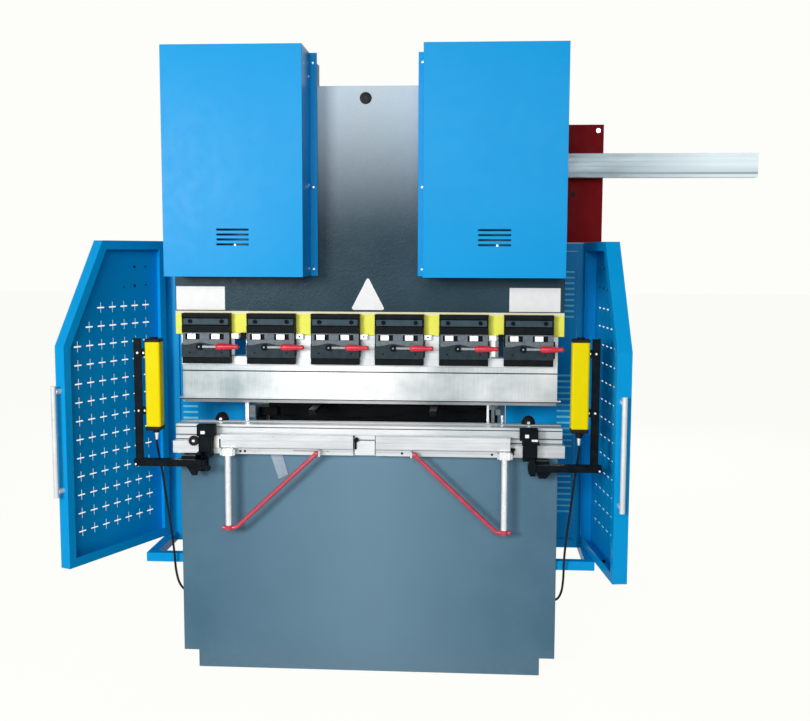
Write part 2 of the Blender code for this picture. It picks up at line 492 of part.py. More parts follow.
for n, x in enumerate(CLAMP_X):
    # Stepped clamp block, against the ram above and the tool holder below.
    back_high, back_low = RAM_FRONT - GAP, -0.030 - GAP
    prism(f"clamp_{n + 1}", "X", (
        (back_low, CLAMP_Z0), (back_low, RAM_BOTTOM), (back_high, RAM_BOTTOM),
        (back_high, CLAMP_Z1), (-0.058, CLAMP_Z1), (-0.058, 1.136), (-0.055, 1.133), (-0.055, 1.113),
        (-0.058, 1.110), (-0.058, 1.087), (-0.050, 1.087), (-0.050, 1.058), (-0.058, 1.054),
        (-0.058, 1.012), (-0.056, 1.010), (-0.056, CLAMP_Z0),
    ), (x - CLAMP_W / 2, x + CLAMP_W / 2), BLACK)

    # Lever on a round boss, pointing right.
    hub = x + LEVER_X
    lever = rod(f"clamp_lever_{n + 1}", "Y", (hub, LEVER_Z), 0.008, (-0.058 - GAP, -0.0775), RED, 16)
    weld(lever, rod(f"lever_stem_{n}", "X", (LEVER_Y, LEVER_Z), 0.0042, (hub, hub + 0.060), None, 12),
         rod(f"lever_grip_{n}", "X", (LEVER_Y, LEVER_Z), 0.0098, (hub + 0.052, hub + 0.125), None, 16))
    pivot(lever, (hub, LEVER_Y, LEVER_Z))

# ---- back gauge ----
for side, s in SIDES:
    box(f"gauge_rail_{side}", (s * 0.388, s * INSIDE), (0.27, 0.68), (0.740, GAUGE_RAIL_Z), STEEL)
beam = box("gauge_beam", (-GAUGE_BEAM_HALF, GAUGE_BEAM_HALF), (0.335, 0.375), (0.735, 0.855), BLACK)
weld(beam, *[box(f"gauge_shoe_{side}", (s * 0.350, s * 0.4135), (0.310, 0.400), (GAUGE_RAIL_Z + GAP, 0.800))
             for side, s in SIDES])
for side, s in SIDES:
    # Finger that rides on the beam and reaches forward to the die.
    finger = box(f"gauge_finger_{side}", (s * 0.175, s * 0.225), (0.325, 0.385), (0.855 + GAP, 0.872), STEEL)
    weld(finger, box(f"finger_face_{side}", (s * 0.175, s * 0.225), (0.318, 0.335 - GAP), (0.800, 0.872)),
         box(f"finger_tip_{side}", (s * 0.188, s * 0.212), (0.120, 0.325), (0.806, 0.822)))
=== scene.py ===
"""The finished look of a small hydraulic press brake, put together section by section around its frame.

Metres, +Z up, front towards -Y. Each section makes one piece or one group of like pieces.
"""
import json
import math

import bmesh
import bpy
from mathutils import Matrix, Vector


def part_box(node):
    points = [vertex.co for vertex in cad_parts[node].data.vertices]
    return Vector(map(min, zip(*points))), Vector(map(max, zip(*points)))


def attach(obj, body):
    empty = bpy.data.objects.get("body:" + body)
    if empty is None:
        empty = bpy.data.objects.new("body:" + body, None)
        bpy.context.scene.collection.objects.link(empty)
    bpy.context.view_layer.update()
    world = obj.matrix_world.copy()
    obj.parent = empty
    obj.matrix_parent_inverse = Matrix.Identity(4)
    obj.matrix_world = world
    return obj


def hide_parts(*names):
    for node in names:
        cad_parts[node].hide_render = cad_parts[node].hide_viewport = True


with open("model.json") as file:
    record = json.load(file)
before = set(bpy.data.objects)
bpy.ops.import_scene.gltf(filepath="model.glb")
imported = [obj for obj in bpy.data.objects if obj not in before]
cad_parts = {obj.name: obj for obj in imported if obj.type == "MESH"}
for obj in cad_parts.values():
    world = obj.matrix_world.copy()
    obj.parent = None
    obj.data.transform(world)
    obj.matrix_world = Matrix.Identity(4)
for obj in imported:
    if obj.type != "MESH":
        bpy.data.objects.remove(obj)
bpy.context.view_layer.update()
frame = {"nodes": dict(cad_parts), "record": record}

# ---- camera ----
# Just below a standing operator's eyes, a little right of the middle and nearly three and a half metres
# back, turned slightly left and down so that the whole machine is in view.
LENS, SENSOR = 47.57, 36.0
EYE = (0.3266, -3.3538, 1.3510)
TURN_LEFT, TILT_DOWN, ROLL = 3.608, 5.951, 0.182

camera_data = bpy.data.cameras.new("camera")
camera_data.lens = LENS
camera_data.sensor_width = SENSOR
camera_data.sensor_fit = "HORIZONTAL"
camera = bpy.data.objects.new("camera", camera_data)
bpy.context.scene.collection.objects.link(camera)
camera.matrix_world = (Matrix.Translation(EYE) @ Matrix.Rotation(math.radians(TURN_LEFT), 4, "Z")
                       @ Matrix.Rotation(math.radians(90 - TILT_DOWN), 4, "X")
                       @ Matrix.Rotation(math.radians(ROLL), 4, "Z"))
bpy.context.scene.camera = camera
bpy.context.scene.view_settings.view_transform = "Standard"


# ---- light curtain cables ----
# Round black PVC cables, 7.4 mm thick. Each leaves the plug below its housing, hangs past the end of the
# bed plate behind the outrigger arm, and goes into the gland on the side plate.
SIDES = (("left", -1), ("right", 1))
CABLE_RADIUS, CABLE_LENGTH = 0.0037, 0.737
PLUG_X, PLUG_Y = 0.6540, -0.1080
GLAND_Y, GLAND_Z = 0.0750, 0.2030
CABLE_ROUTE = (
    (PLUG_X, PLUG_Y, 0.7565), (PLUG_X, PLUG_Y, 0.7420), (0.6525, -0.0930, 0.7040),
    (0.6450, -0.0870, 0.6500), (0.6360, -0.0790, 0.5600), (0.6260, -0.0700, 0.4700),
    (0.6200, -0.0590, 0.3850), (0.6200, -0.0400, 0.3150), (0.6160, -0.0080, 0.2600),
    (0.6010, 0.0370, 0.2220), (0.5500, 0.0660, 0.2060), (0.4900, GLAND_Y, GLAND_Z),
    (0.4523, GLAND_Y, GLAND_Z))


def hanging_line(points, steps):
    """Points along a smooth curve through the route's own points."""
    ends = [Vector(p) for p in points]
    ends = [2 * ends[0] - ends[1], *ends, 2 * ends[-1] - ends[-2]]
    line = []
    for a, b, c, d in zip(ends, ends[1:], ends[2:], ends[3:]):
        for i in range(steps):
            t = i / steps
            line.append(0.5 * ((2 * b) + (c - a) * t + (2 * a - 5 * b + 4 * c - d) * t * t
                               + (3 * b - a - 3 * c + d) * t ** 3))
    return [*line, ends[-2]]


def new_finish(name, colour, roughness, metallic=0.0, specular=0.5):
    """A finish with a shader and the piece's own coordinates, ready to be worked up."""
    mat = bpy.data.materials.new(name)
    mat.use_nodes = True
    mat.diffuse_color = (*colour, 1.0)
    shader = mat.node_tree.nodes["Principled BSDF"]
    shader.inputs["Base Color"].default_value = (*colour, 1.0)
    shader.inputs["Roughness"].default_value = roughness
    shader.inputs["Metallic"].default_value = metallic
    shader.inputs["Specular IOR Level"].default_value = specular
    place = mat.node_tree.nodes.new("ShaderNodeTexCoord").outputs["Object"]
    return mat, shader, place


def put(mat, kind, settings=(), **values):
    """Adds a node. Settings are its properties and values its sockets, which may be linked outputs."""
    node = mat.node_tree.nodes.new(kind)
    for key, value in dict(settings).items():
        setattr(node, key, value)
    for key, value in values.items():
        name = key.replace("_", " ").title() if key[0].islower() else key
        socket = node.inputs[int(key[1:])] if key[0] == "i" and key[1:].isdigit() else node.inputs[name]
        if isinstance(value, bpy.types.NodeSocket):
            mat.node_tree.links.new(value, socket)
        else:
            socket.default_value = value
    return node


def grain(mat, place, size, detail=3.0, stretch=(1, 1, 1), rough=0.55):
    """A noise whose marks are about size metres across, stretched along the axes by the given factors."""
    spread = put(mat, "ShaderNodeMapping", vector=place, scale=tuple(1 / (size * s) for s in stretch))
    noise = put(mat, "ShaderNodeTexNoise", vector=spread.outputs[0], scale=1.0, detail=detail,
                roughness=rough)
    return noise.outputs["Fac"]


def spread_to(mat, value, low, high, start=0.3, end=0.7):
    """Turns a noise value between start and end into one between low and high."""
    return put(mat, "ShaderNodeMapRange", value=value, i1=start, i2=end, i3=low, i4=high).outputs[0]


def tint(mat, shader, factor, first, second):
    """Mixes two colours by a factor into the finish's colour. The first may be an earlier mix."""
    first = (*first, 1) if isinstance(first, tuple) else first
    mix = put(mat, "ShaderNodeMix", {"data_type": "RGBA"}, i0=factor, i6=first, i7=(*second, 1))
    mat.node_tree.links.new(mix.outputs[2], shader.inputs["Base Color"])
    return mix.outputs[2]


def relief(mat, shader, height, depth, strength=1.0):
    """Raises the surface by a height value; depth is in metres."""
    bump = put(mat, "ShaderNodeBump", height=height, distance=depth, strength=strength)
    mat.node_tree.links.new(bump.outputs[0], shader.inputs["Normal"])
    return bump


def roughen(mat, shader, value):
    mat.node_tree.links.new(value, shader.inputs["Roughness"])


def clouded(name, colour, roughness, marks, shades, wear, gloss, bumps=None, metallic=0.0, specular=0.5,
            clouds=(0.3, 0.7)):
    """A finish of two shades that lie in clouds, with a gloss that varies and, if wanted, a fine relief.

    Marks, wear and the first of the bumps each give a grain's size, detail, stretch and roughness.
    """
    mat, shader, place = new_finish(name, colour, roughness, metallic, specular)
    tint(mat, shader, spread_to(mat, grain(mat, place, *marks), 0, 1, *clouds), *shades)
    roughen(mat, shader, spread_to(mat, grain(mat, place, *wear), *gloss))
    if bumps:
        size, depth, strength = bumps
        relief(mat, shader, grain(mat, place, *size), depth, strength)
    return mat


def tube(name, route, radius):
    """A round tube through the route's points, with its ends closed."""
    curve = bpy.data.curves.new(name, "CURVE")
    curve.dimensions = "3D"
    curve.bevel_depth = radius
    curve.bevel_resolution = 4
    curve.use_fill_caps = True
    spline = curve.splines.new("POLY")
    spline.points.add(len(route) - 1)
    for point, co in zip(spline.points, route):
        point.co = (*co, 1)
    obj = bpy.data.objects.new(name, curve)
    bpy.context.scene.collection.objects.link(obj)
    return obj


CABLE_SHEATH = clouded("cable_sheath", (0.008, 0.008, 0.009), 0.5, [0.03],
                       ((0.008, 0.008, 0.009), (0.022, 0.022, 0.024)), [0.012], (0.42, 0.62),
                       ([0.0012], 0.00008, 0.6), specular=0.12)
for side, s in SIDES:
    line = hanging_line([(s * x, y, z) for x, y, z in CABLE_ROUTE], 8)
    cable = tube(f"curtain_cable_{side}_sheath", line, CABLE_RADIUS)
    cable.data.materials.append(CABLE_SHEATH)
    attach(cable, "frame")
    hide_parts(f"curtain_cable_{side}")


# ---- floor and light ----
# A plain pale studio floor and a white surround. A soft key lamp stands low on the left, a broad weak one
# fills from the front, a small one high up shows along the ram's neck, and one behind lights the back.
def maths(mat, operation, first, second=0.0, clamp=False):
    """One operation on two values."""
    settings = {"operation": operation, "use_clamp": clamp}
    return put(mat, "ShaderNodeMath", settings, i0=first, i1=second).outputs[0]


def seen_rays(mat):
    """The rays of the camera and of reflections, and the outputs that tell all rays apart."""
    rays = put(mat, "ShaderNodeLightPath").outputs
    return maths(mat, "MAXIMUM", rays["Is Camera Ray"], rays["Is Glossy Ray"]), rays


def floor_finish():
    mat, shader, place = new_finish("studio_floor", (0.48, 0.49, 0.50), 0.8)
    tint(mat, shader, spread_to(mat, grain(mat, place, 0.6), 0, 1), (0.46, 0.47, 0.48), (0.50, 0.51, 0.52))
    tree = mat.node_tree
    seen, rays = seen_rays(mat)
    pale = put(mat, "ShaderNodeBsdfDiffuse", color=(0.08, 0.08, 0.08, 1))
    glow = put(mat, "ShaderNodeEmission", color=(1.0, 1.0, 0.96, 1), strength=0.955)
    lit = put(mat, "ShaderNodeAddShader", i0=pale.outputs[0], i1=glow.outputs[0])
    both = put(mat, "ShaderNodeMixShader", i0=seen, i1=shader.outputs[0], i2=lit.outputs[0])
    tree.links.new(both.outputs[0], tree.nodes["Material Output"].inputs["Surface"])
    return mat


def started(add, name, **settings):
    """What an operator adds, which is then the only thing selected."""
    bpy.ops.object.select_all(action="DESELECT")
    add(**settings)
    obj = bpy.context.active_object
    obj.name = name
    return obj


floor = started(bpy.ops.mesh.primitive_plane_add, "floor", size=60)
floor.data.materials.append(floor_finish())

world = bpy.data.worlds.new("surround")
bpy.context.scene.world = world
world.use_nodes = True
seen, rays = seen_rays(world)
seen = maths(world, "MAXIMUM", seen, rays["Is Transmission Ray"])
white = put(world, "ShaderNodeBackground", color=(0.985, 0.985, 0.95, 1), strength=1.0)
tree = world.node_tree
dim = tree.nodes["Background"]
dim.inputs["Color"].default_value = (0.92, 0.96, 1.0, 1)
dim.inputs["Strength"].default_value = 0.10
both = put(world, "ShaderNodeMixShader", i0=seen, i1=dim.outputs[0], i2=white.outputs[0])
tree.links.new(both.outputs[0], tree.nodes["World Output"].inputs["Surface"])


def lamp(name, place, target, size, watts):
    light = started(bpy.ops.object.light_add, name, type="AREA", location=place)
    light.data.shape = "RECTANGLE"
    light.data.size, light.data.size_y = size
    light.data.energy = watts
    light.rotation_euler = (Vector(target) - Vector(place)).to_track_quat("-Z", "Y").to_euler()
    return light


lamp("key_lamp", (-1.85, -4.35, 1.80), (0.0, 0.0, 1.0), (1.0, 1.0), 104)
lamp("fill_lamp", (0.10, -4.60, 2.05), (0.0, 0.0, 1.0), (2.6, 1.0), 62)
lamp("high_lamp", (-0.35, -4.30, 2.60), (0.0, 0.0, 1.4), (0.6, 0.35), 9)
rear_lamp = lamp("rear_lamp", (0.80, 4.60, 2.30), (0.0, 0.4, 1.0), (2.4, 1.2), 60)
rear_lamp.visible_glossy = False


# ---- bed plate and side plates ----
# Thick flame-cut steel plate, edges dressed by hand and sprayed with a slate blue-grey two-pack paint.
# The coat is satin, with faint clouds, a painted sheen that pales it towards the middle in X, and a little
# dust near the floor.
BODY = {node: body for body, members in frame["record"]["behaviour"]["bodies"].items() for node in members}
SLOT = {part["node"]: part["material_slot"] for part in frame["record"]["subparts"]}
SLATE, SLATE_DARK = (0.105, 0.215, 0.300), (0.084, 0.182, 0.256)
SLATE_SHEEN, DUST = (0.175, 0.305, 0.405), (0.17, 0.26, 0.32)
SHARP = math.radians(28)


def alone(obj):
    """Selects one object and nothing else."""
    if bpy.context.mode != "OBJECT":
        bpy.ops.object.mode_set(mode="OBJECT")
    bpy.ops.object.select_all(action="DESELECT")
    obj.select_set(True)
    bpy.context.view_layer.objects.active = obj


def apply_all(obj):
    """Applies the place and every modifier, so that the shape is in the mesh."""
    alone(obj)
    bpy.ops.object.transform_apply(location=True, rotation=True, scale=True)
    for mod in list(obj.modifiers):
        bpy.ops.object.modifier_apply(modifier=mod.name)


def ease(obj, width, segments=2):
    """Rounds the sharp edges, and shades the flats flat and the rounds round."""
    apply_all(obj)
    if width:
        mod = obj.modifiers.new("eased_edges", "BEVEL")
        mod.width = width
        mod.segments = segments
        mod.limit_method = "ANGLE"
        mod.angle_limit = SHARP
    bpy.ops.object.shade_smooth_by_angle(angle=SHARP)
    mod = obj.modifiers.new("flat_faces", "WEIGHTED_NORMAL")
    mod.keep_sharp = True
    apply_all(obj)
    return obj


def fitted(obj, body, slot, mat, *nodes):
    """Fixes a finished piece to its body, in place of the nodes it stands for."""
    alone(obj)
    bpy.ops.object.transform_apply(location=True, rotation=True, scale=True)
    if mat:
        obj.data.materials.clear()
        obj.data.materials.append(mat)
    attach(obj, body)
    if nodes:
        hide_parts(*nodes)
    return obj


def from_frame(node, name):
    """A merged copy of a node's mesh, with its flat faces whole again."""
    obj = bpy.data.objects.new(name, frame["nodes"][node].data.copy())
    bpy.context.scene.collection.objects.link(obj)
    alone(obj)
    bpy.ops.object.mode_set(mode="EDIT")
    bpy.ops.mesh.select_all(action="SELECT")
    bpy.ops.mesh.customdata_custom_splitnormals_clear()
    bpy.ops.mesh.remove_doubles(threshold=0.00001)
    bpy.ops.mesh.dissolve_limited(angle_limit=math.radians(0.8))
    bpy.ops.object.mode_set(mode="OBJECT")
    return obj


def dressed(node, width, mat, segments=2):
    """A node's own shape with its edges eased, which stands for it."""
    obj = ease(from_frame(node, f"{node}_dressed"), width, segments)
    return fitted(obj, BODY[node], SLOT[node], mat, node)


def distance(mat, place, axis):
    """How far along one axis of the machine."""
    return put(mat, "ShaderNodeSeparateXYZ", vector=place).outputs[axis]


def slate_coat():
    mat, shader, place = new_finish("slate_coat", SLATE, 0.36, specular=0.16)
    clouds = spread_to(mat, grain(mat, place, 0.16, 4.0), 0, 1, 0.35, 0.68)
    body = tint(mat, shader, clouds, SLATE_DARK, SLATE)
    # Painted sheen: the colour pales towards X = 0 and darkens towards the ends, in place of the satin
    # coat's reflection.
    painted_sheen = spread_to(mat, maths(mat, "ABSOLUTE", distance(mat, place, "X")), 0.9, 0.0, 0.05, 0.55)
    body = tint(mat, shader, painted_sheen, body, SLATE_SHEEN)
    low = spread_to(mat, distance(mat, place, "Z"), 0.55, 0.0, 0.0, 0.10)
    specks = spread_to(mat, grain(mat, place, 0.02, 5.0), 0.2, 1.0)
    tint(mat, shader, maths(mat, "MULTIPLY", low, specks), body, DUST)
    roughen(mat, shader, spread_to(mat, grain(mat, place, 0.05, 5.0), 0.30, 0.46))
    relief(mat, shader, grain(mat, place, 0.006, 2.0), 0.00025, 0.5)
    return mat


SLATE_COAT = slate_coat()
dressed("bed_plate", 0.0015, SLATE_COAT)
for side, s in SIDES:
    dressed(f"side_frame_{side}", 0.0015, SLATE_COAT)
dressed("rear_beam", 0.0015, SLATE_COAT)


# ---- ram ----
# One heavy plate in a dark slate hammered enamel, with a painted highlight that pales it towards its top.
# A caution band is stuck along its foot, and blank stickers sit above the band. A rubber plug closes the
# lifting hole.
(_, RAM_FACE, RAM_FOOT), (RAM_END, _, _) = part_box("ram_plate")
BAND_TOP, BAND_THICK = 1.155, 0.0012


def between(name, x, y, z, width=0.0, segments=2):
    """A block between two limits on each axis, given in either order, with its edges eased."""
    low = Vector((min(x), min(y), min(z)))
    high = Vector((max(x), max(y), max(z)))
    obj = started(bpy.ops.mesh.primitive_cube_add, name, size=1, location=(low + high) / 2)
    obj.scale = high - low
    return ease(obj, width, segments)


def round_bar(name, axis, centre, radius, span, width=0.0, sides=32, tip=None):
    """A round bar along an axis; span is its two ends there, and centre its other two coordinates."""
    middle, length = (span[0] + span[1]) / 2, abs(span[1] - span[0])
    place = {"X": (middle, *centre), "Y": (centre[0], middle, centre[1]), "Z": (*centre, middle)}[axis]
    quarter = math.pi / 2
    turn = {"X": (0, quarter, 0), "Y": (quarter, 0, 0), "Z": (0, 0, 0)}[axis]
    obj = started(bpy.ops.mesh.primitive_cone_add, name, vertices=sides, radius1=radius,
                  radius2=radius if tip is None else tip, depth=length, location=place, rotation=turn)
    return ease(obj, width)


def joined(name, parts):
    """Several pieces as one object."""
    alone(parts[0])
    for part in parts:
        part.select_set(True)
    bpy.ops.object.join()
    obj = bpy.context.active_object
    obj.name = name
    return obj


def hammered_enamel():
    mat, shader, place = new_finish("hammered_enamel", (0.024, 0.056, 0.078), 0.34, specular=0.12)
    patches = spread_to(mat, grain(mat, place, 0.10, 4.0), 0, 1)
    body = tint(mat, shader, patches, (0.010, 0.040, 0.060), (0.022, 0.058, 0.082))
    # Painted highlight: the colour rises smoothly to a pale grey-blue between z 1.36 and 1.94.
    rise = put(mat, "ShaderNodeMapRange", {"interpolation_type": "SMOOTHSTEP"},
               value=distance(mat, place, "Z"), i1=1.36, i2=1.94, i3=0.0, i4=1.0).outputs[0]
    tint(mat, shader, rise, body, (0.62, 0.72, 0.78))
    roughen(mat, shader, spread_to(mat, grain(mat, place, 0.03, 4.0), 0.28, 0.40))
    relief(mat, shader, grain(mat, place, 0.0075, 2.0, rough=0.6), 0.0011, 0.6)
    return mat


def caution_band():
    mat, shader, place = new_finish("caution_band", (0.98, 0.98, 0.12), 0.42, specular=0.2)
    # Painted highlight: the band's top 8.5 mm is a paler cream, for its upper edge catching the light.
    edge = spread_to(mat, distance(mat, place, "Z"), 0, 1, BAND_TOP - 0.0095, BAND_TOP - 0.0085)
    scuffs = spread_to(mat, grain(mat, place, 0.02, 4.0), 0, 1)
    worn = tint(mat, shader, scuffs, (0.97, 0.98, 0.10), (1.0, 1.0, 0.14))
    tint(mat, shader, edge, worn, (0.95, 0.90, 0.60))
    roughen(mat, shader, spread_to(mat, scuffs, 0.36, 0.5, 0, 1))
    return mat


dressed("ram_plate", 0.0014, hammered_enamel())
band = between("caution_band", (-RAM_END, RAM_END), (RAM_FACE, RAM_FACE - BAND_THICK),
               (RAM_FOOT + 0.0002, BAND_TOP), 0.0004)
fitted(band, "ram", "yellow_paint", caution_band())

BARE_STICKER = clouded("bare_sticker", (0.86, 0.86, 0.84), 0.35, [0.02],
                       ((0.90, 0.90, 0.88), (0.95, 0.95, 0.93)), [0.01], (0.3, 0.42), specular=0.4)
for side, x in (("left", (-0.607, -0.452)), ("right", (0.440, 0.597))):
    sticker = between(f"blank_sticker_{side}", x, (RAM_FACE, RAM_FACE - 0.0005), (1.158, 1.232), 0.0002)
    fitted(sticker, "ram", "aluminium", BARE_STICKER)

triangle = started(bpy.ops.mesh.primitive_cylinder_add, "blank_triangle", vertices=3, radius=0.0690,
                   depth=0.0005, location=(0.0, RAM_FACE - 0.00025, 1.1955), rotation=(math.pi / 2, 0, 0))
TRIANGLE_WIDE, TRIANGLE_FULL = 0.107, 0.1195
triangle.scale.x = TRIANGLE_WIDE / TRIANGLE_FULL
alone(triangle)
bpy.ops.object.transform_apply(location=True, rotation=True, scale=True)
bpy.ops.object.mode_set(mode="EDIT")
bpy.ops.mesh.select_mode(type="EDGE")
bpy.ops.mesh.select_all(action="DESELECT")
cage = bmesh.from_edit_mesh(triangle.data)
for corner in cage.edges:
    along = corner.verts[0].co - corner.verts[1].co
    corner.select = abs(along.y) > 0.0004
cage.select_flush_mode()
bmesh.update_edit_mesh(triangle.data)
bpy.ops.mesh.bevel(offset=0.010, segments=5, affect="EDGES")
bpy.ops.object.mode_set(mode="OBJECT")
fitted(ease(triangle, 0.0), "ram", "aluminium", BARE_STICKER)

MOULDED_RUBBER = clouded("moulded_rubber", (0.008, 0.008, 0.009), 0.5, [0.02],
                         ((0.007, 0.007, 0.008), (0.016, 0.016, 0.017)), [0.008], (0.32, 0.55),
                         ([0.0015], 0.0001, 0.5), specular=0.12)
plug = started(bpy.ops.mesh.primitive_cylinder_add, "ram_plug", vertices=32, radius=0.018, depth=0.004,
               location=(-0.0065, RAM_FACE - 0.0018, 1.810), rotation=(math.pi / 2, 0, 0))
alone(plug)
bpy.ops.object.transform_apply(location=True, rotation=True, scale=True)


def pick_faces(obj, wanted):
    """In edit mode, selects the faces that the test picks and nothing else."""
    bpy.ops.mesh.select_mode(type="FACE")
    bpy.ops.mesh.select_all(action="DESELECT")
    mesh = bmesh.from_edit_mesh(obj.data)
    for face in mesh.faces:
        face.select_set(bool(wanted(face)))
    bmesh.update_edit_mesh(obj.data)


bpy.ops.object.mode_set(mode="EDIT")
pick_faces(plug, lambda face: face.normal.y < -0.9)
bpy.ops.mesh.inset(thickness=0.003)
bpy.ops.transform.translate(value=(0, -0.0012, 0))
bpy.ops.mesh.inset(thickness=0.005)
bpy.ops.mesh.extrude_region_move(TRANSFORM_OT_translate={"value": (0, 0.0022, 0)})
bpy.ops.object.mode_set(mode="OBJECT")
fitted(ease(plug, 0.0006), "ram", "cable_rubber", MOULDED_RUBBER)


# ---- cylinder covers ----
# Deep boxes folded from 3 mm sheet, powder-coated a bright gloss blue, with four vent slots and a flange
# down the inner edge. Button-head screws hold the flange and the inner wall.
def screw_master(name, radius, height, washer=0.0):
    """A button-head screw facing +Z on the origin, with a six-sided socket and, if wanted, a washer."""
    obj = started(bpy.ops.mesh.primitive_cylinder_add, name, vertices=12, radius=radius, depth=height,
                  location=(0, 0, height / 2))
    apply_all(obj)
    bpy.ops.object.mode_set(mode="EDIT")
    pick_faces(obj, lambda face: face.normal.z > 0.9)
    bpy.ops.mesh.inset(thickness=radius * 0.25)
    bpy.ops.transform.translate(value=(0, 0, height * 0.25))
    bpy.ops.mesh.inset(thickness=radius * 0.28)
    bpy.ops.mesh.extrude_region_move(TRANSFORM_OT_translate={"value": (0, 0, -height * 0.8)})
    bpy.ops.object.mode_set(mode="OBJECT")
    parts = [ease(obj, 0.0)]
    if washer:
        parts.append(round_bar(f"{name}_washer", "Z", (0, 0), washer, (0, height * 0.25), 0.0, 20))
    return joined(name, parts)


FACING = {"-Y": (math.pi / 2, 0, 0), "+Y": (-math.pi / 2, 0, 0), "+X": (0, math.pi / 2, 0),
          "-X": (0, -math.pi / 2, 0), "+Z": (0, 0, 0), "-Z": (math.pi, 0, 0)}


def set_out(master, name, places, facing="-Y"):
    """Copies of a small piece at each place, turned to face one way, as one object with its own mesh."""
    copies = []
    for i, place in enumerate(places):
        obj = bpy.data.objects.new(f"{name}_{i}", master.data.copy())
        bpy.context.scene.collection.objects.link(obj)
        obj.rotation_euler = FACING[facing]
        obj.location = place
        apply_all(obj)
        copies.append(obj)
    return joined(name, copies)


def screwed(master, name, places, body, slot, mat, facing="-Y"):
    """Screws or bolts set out at their places and fixed to their body."""
    return fitted(set_out(master, name, places, facing), body, slot, mat)


GUARD_BLUE = clouded("guard_blue", (0.0, 0.362, 0.800), 0.30, [0.22, 4.0],
                     ((0.0, 0.358, 0.792), (0.003, 0.374, 0.816)), [0.045, 6.0, (1, 1, 1), 0.65],
                     (0.28, 0.35, 0.35, 0.7), ([0.004, 2.0], 0.00015, 0.45), specular=0.09,
                     clouds=(0.35, 0.7))
ZINC_PLATE = clouded("zinc_plate", (0.74, 0.76, 0.78), 0.30, [0.006],
                     ((0.62, 0.64, 0.67), (0.86, 0.88, 0.90)), [0.004], (0.22, 0.42), metallic=1.0)
BLACKENED = clouded("blackened_steel", (0.006, 0.010, 0.013), 0.42, [0.025, 4.0],
                    ((0.002, 0.004, 0.006), (0.008, 0.013, 0.017)), [0.008, 4.0], (0.34, 0.55),
                    ([0.0015, 2.0], 0.00008, 0.5), specular=0.05)
M8_CAP = screw_master("m8_cap", 0.0064, 0.0060)
M4 = screw_master("m4_button", 0.0036, 0.0022)
for side, s in SIDES:
    dressed(f"cylinder_cover_{side}", 0.0016, GUARD_BLUE)
    low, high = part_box(f"cylinder_cover_{side}")
    flange_x = (low.x if s > 0 else high.x) + s * 0.0125
    screwed(M4, f"flange_screws_{side}", [(flange_x, -0.0310, z) for z in (1.915, 1.540, 1.288)], "frame",
            "chrome", ZINC_PLATE)
    screwed(M4, f"cover_wall_screws_{side}", [(s * 0.1782, -0.060, z) for z in (1.870, 1.545, 1.290)],
            "frame", "chrome", ZINC_PLATE, "+X" if s < 0 else "-X")
    screwed(M4, f"vent_screw_{side}", [(s * 0.389 + 0.008, low.y, 1.3615)], "frame", "chrome", ZINC_PLATE)


# ---- cylinders, mounting plates and ram guides ----
# Cast and machined parts behind the covers: slate paint on the cylinders and plates, hard chrome on the
# piston rods and ground steel on the guide blocks.
def polish(mat, value, stops):
    """Follows a value through stops of (value, brightness), for metal that is brighter where it is used."""
    low, high = stops[0][0], stops[-1][0]
    span = put(mat, "ShaderNodeMapRange", value=value, i1=low, i2=high, i3=0.0, i4=1.0).outputs[0]
    ramp = put(mat, "ShaderNodeValToRGB", fac=span)
    bands = ramp.color_ramp.elements
    while len(bands) < len(stops):
        bands.new(0.5)
    for band, (place, level) in zip(bands, stops):
        band.position = (place - low) / (high - low)
        band.color = (level, level, level, 1)
    return ramp.outputs["Color"]


def ground_steel():
    """Ground tool steel: fine lines along the table and soft oily patches, with painted reflection and shade
    along X.
    """
    mat, shader, place = new_finish("ground_steel", (0.80, 0.84, 0.85), 0.34, 0.10)
    # Painted reflection and shade: brighter towards the middle and left in X, darker towards the right end.
    shade = polish(mat, distance(mat, place, "X"), ((-0.60, 0.60), (-0.35, 0.70), (-0.15, 1.0), (0.10, 1.0),
                                                    (0.30, 0.40), (0.60, 0.15)))
    for size, low, high, stretch in ((0.12, -0.18, 0.18, (1, 1, 0.5)), (0.0016, -0.08, 0.08, (60, 1, 1))):
        change = spread_to(mat, grain(mat, place, size, 3.0, stretch=stretch), low, high)
        shade = maths(mat, "ADD", shade, change, True)
    tint(mat, shader, shade, (0.52, 0.60, 0.63), (0.94, 0.95, 0.95))
    roughen(mat, shader, spread_to(mat, grain(mat, place, 0.03, 4.0), 0.28, 0.42))
    return mat


HARD_CHROME = clouded("hard_chrome", (0.80, 0.80, 0.82), 0.10, [0.02],
                      ((0.74, 0.75, 0.77), (0.84, 0.84, 0.86)), [0.0015, 3.0, (1, 1, 20)], (0.06, 0.16),
                      metallic=1.0)
GROUND_STEEL = ground_steel()
for side, s in SIDES:
    dressed(f"cylinder_mount_{side}", 0.0012, SLATE_COAT)
    dressed(f"cylinder_{side}", 0.0025, SLATE_COAT)
    dressed(f"piston_rod_{side}", 0.0012, HARD_CHROME)
    dressed(f"ram_guide_{side}", 0.0008, GROUND_STEEL)
    screwed(M8_CAP, f"mount_bolts_{side}",
            [(s * x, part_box(f"cylinder_mount_{side}")[1].y, z)
             for x in (0.36, 0.50, 0.57)
             for z in (1.36, 1.60, 1.87)], "frame", "black_metal", BLACKENED, "+Y")


# ---- oil tank and pump motor ----
# Welded tank with a lid, filler cap and sight glass, and a finned motor with its fan cowl and terminal
# box standing on it.
CAST_IRON = clouded("painted_casting", (0.10, 0.17, 0.22), 0.46, [0.05, 4.0],
                    ((0.075, 0.135, 0.18), (0.115, 0.19, 0.24)), [0.02, 4.0], (0.40, 0.58),
                    ([0.003, 4.0], 0.0005, 0.6), specular=0.35)
dressed("oil_tank", 0.0015, SLATE_COAT)
LID_Z = 1.615
screwed(M8_CAP, "tank_lid_bolts",
        [(x, y, LID_Z) for x in (-0.35, -0.25, 0.10, 0.35) for y in (0.425, 0.695)], "frame",
        "black_metal", BLACKENED, "+Z")

